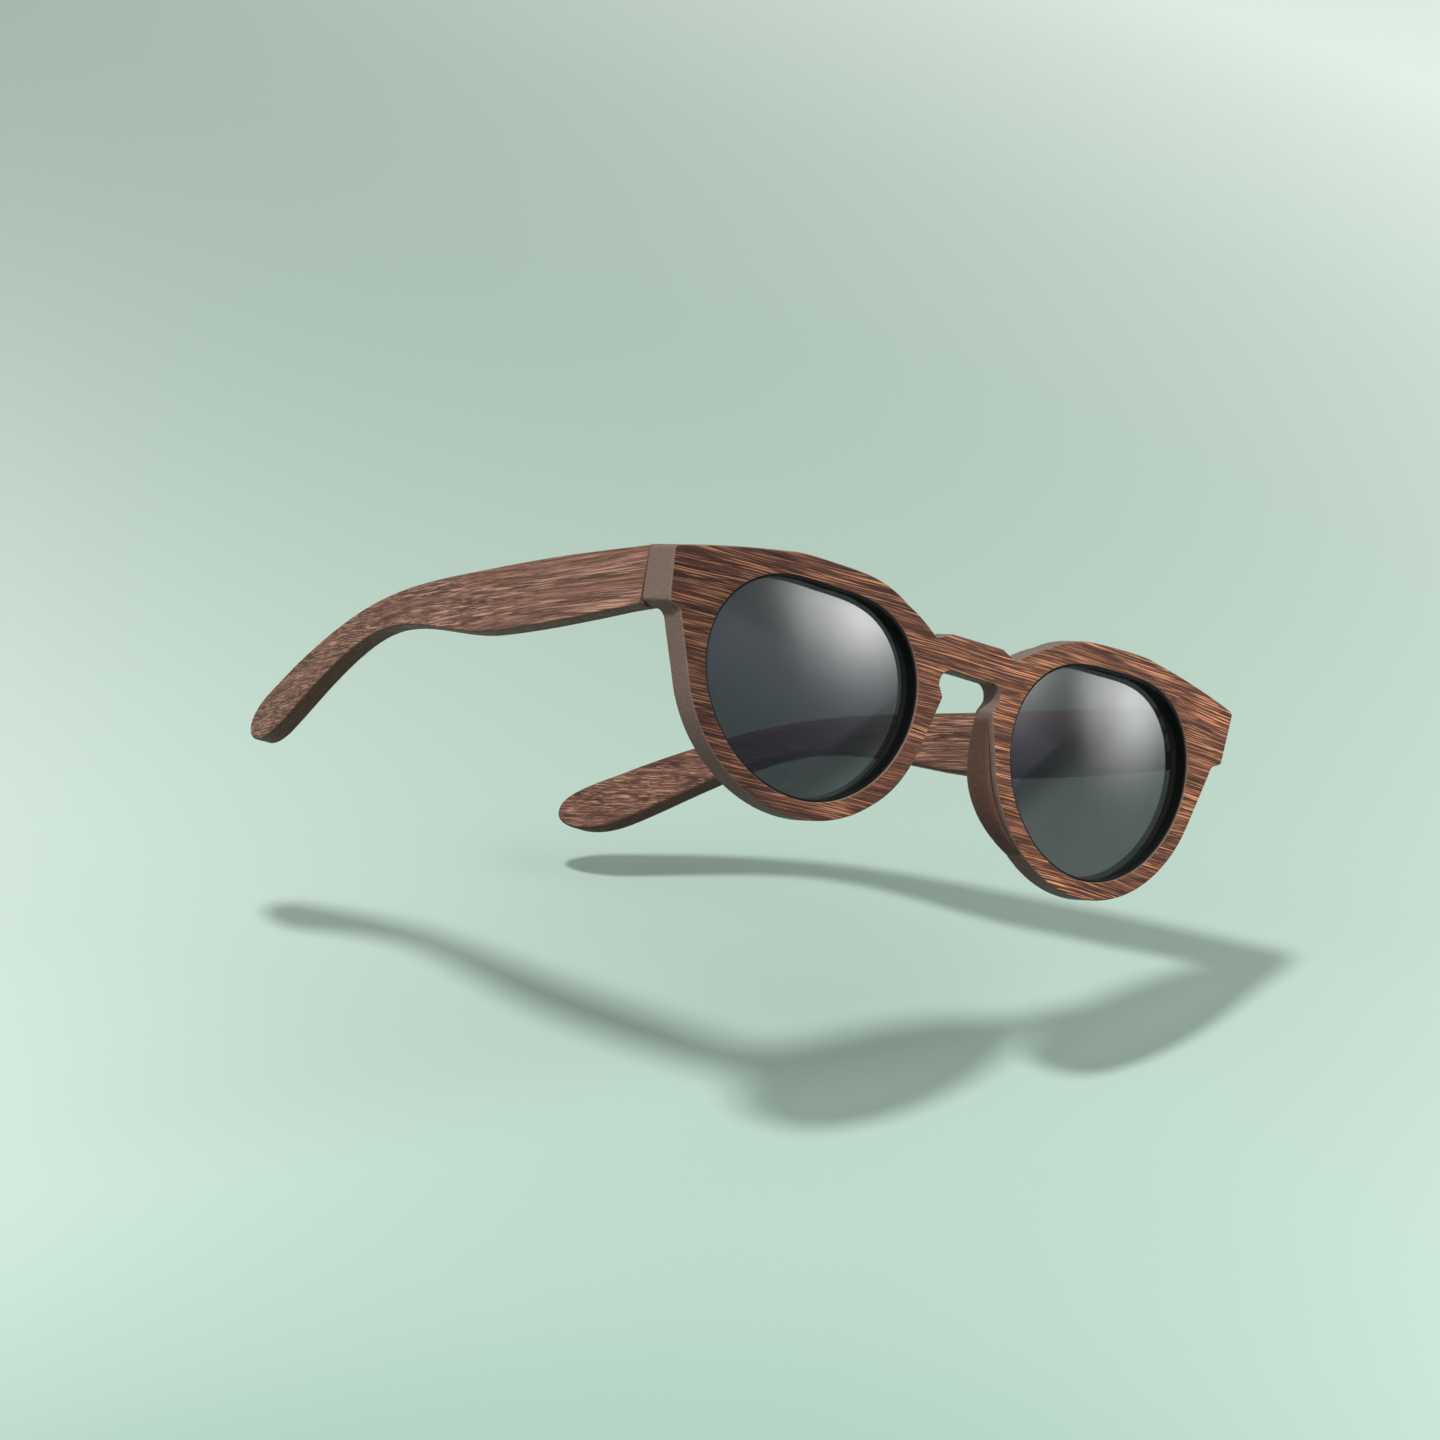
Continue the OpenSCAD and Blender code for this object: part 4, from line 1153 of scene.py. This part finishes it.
def studio_world():
    """Even light, the pale backdrop in view, and a graded wall and a board on the right for the lenses."""
    world = bpy.data.worlds.new("studio")
    bpy.context.scene.world = world
    net = Nodes(world)
    way = net.add("ShaderNodeTexCoord").outputs["Generated"]

    def along(axis):
        n = net.add("ShaderNodeVectorMath", operation="DOT_PRODUCT")
        net.link(way, n.inputs[0])
        n.inputs[1].default_value = axis
        return n.outputs["Value"]

    rise = along(in_camera(FLAG_RISE))
    aside = along(right)
    flag = net.math("MULTIPLY", net.spread(rise, *FLAG_START), net.spread(rise, *FLAG_END, 1.0, 0.0))
    flag = net.math("MULTIPLY", flag, net.spread(aside, *FLAG_SIDE))
    wall = net.mix(net.spread(rise, *WALL_RISE), SIDE_LOW, SIDE_HIGH)
    seen = net.add("ShaderNodeLightPath").outputs
    plain = net.mix(seen["Is Glossy Ray"], ROOM_LIGHT, BACKDROP)
    room = net.mix(flag, net.mix(net.spread(aside, *WALL_SIDE), plain, wall), FLAG)
    straight = net.math("MAXIMUM", seen["Is Camera Ray"], seen["Is Transmission Ray"])
    background = net.tree.nodes["Background"]
    net.link(net.mix(straight, room, BACKDROP), background.inputs["Color"])
    background.inputs["Strength"].default_value = 1.0


def soft_light(name, offset, size, watts):
    """A round lamp that faces the object and shows in no reflection."""
    data = bpy.data.lights.new(name, "AREA")
    data.shape = "DISK"
    data.size = size
    data.energy = watts
    obj = bpy.data.objects.new(name, data)
    at = target + in_camera(offset)
    obj.location = at
    obj.rotation_mode = "QUATERNION"
    obj.rotation_quaternion = (target - at).to_track_quat("-Z", "Y")
    obj.visible_camera = obj.visible_glossy = False
    bpy.context.scene.collection.objects.link(obj)


floor_up = in_camera((0, math.cos(FLOOR_TILT), math.sin(FLOOR_TILT)))
floor_matrix = axes_matrix(right, floor_up.cross(right), floor_up, target - floor_up * FLOOR_DROP)
panel("floor", FLOOR_HALF, floor_matrix, shade_painted_floor())
for glow in GLOWS:
    glow_panel(*glow)
studio_world()
for lamp in LAMPS:
    soft_light(*lamp)

view = bpy.context.scene.view_settings
view.view_transform = "Standard"
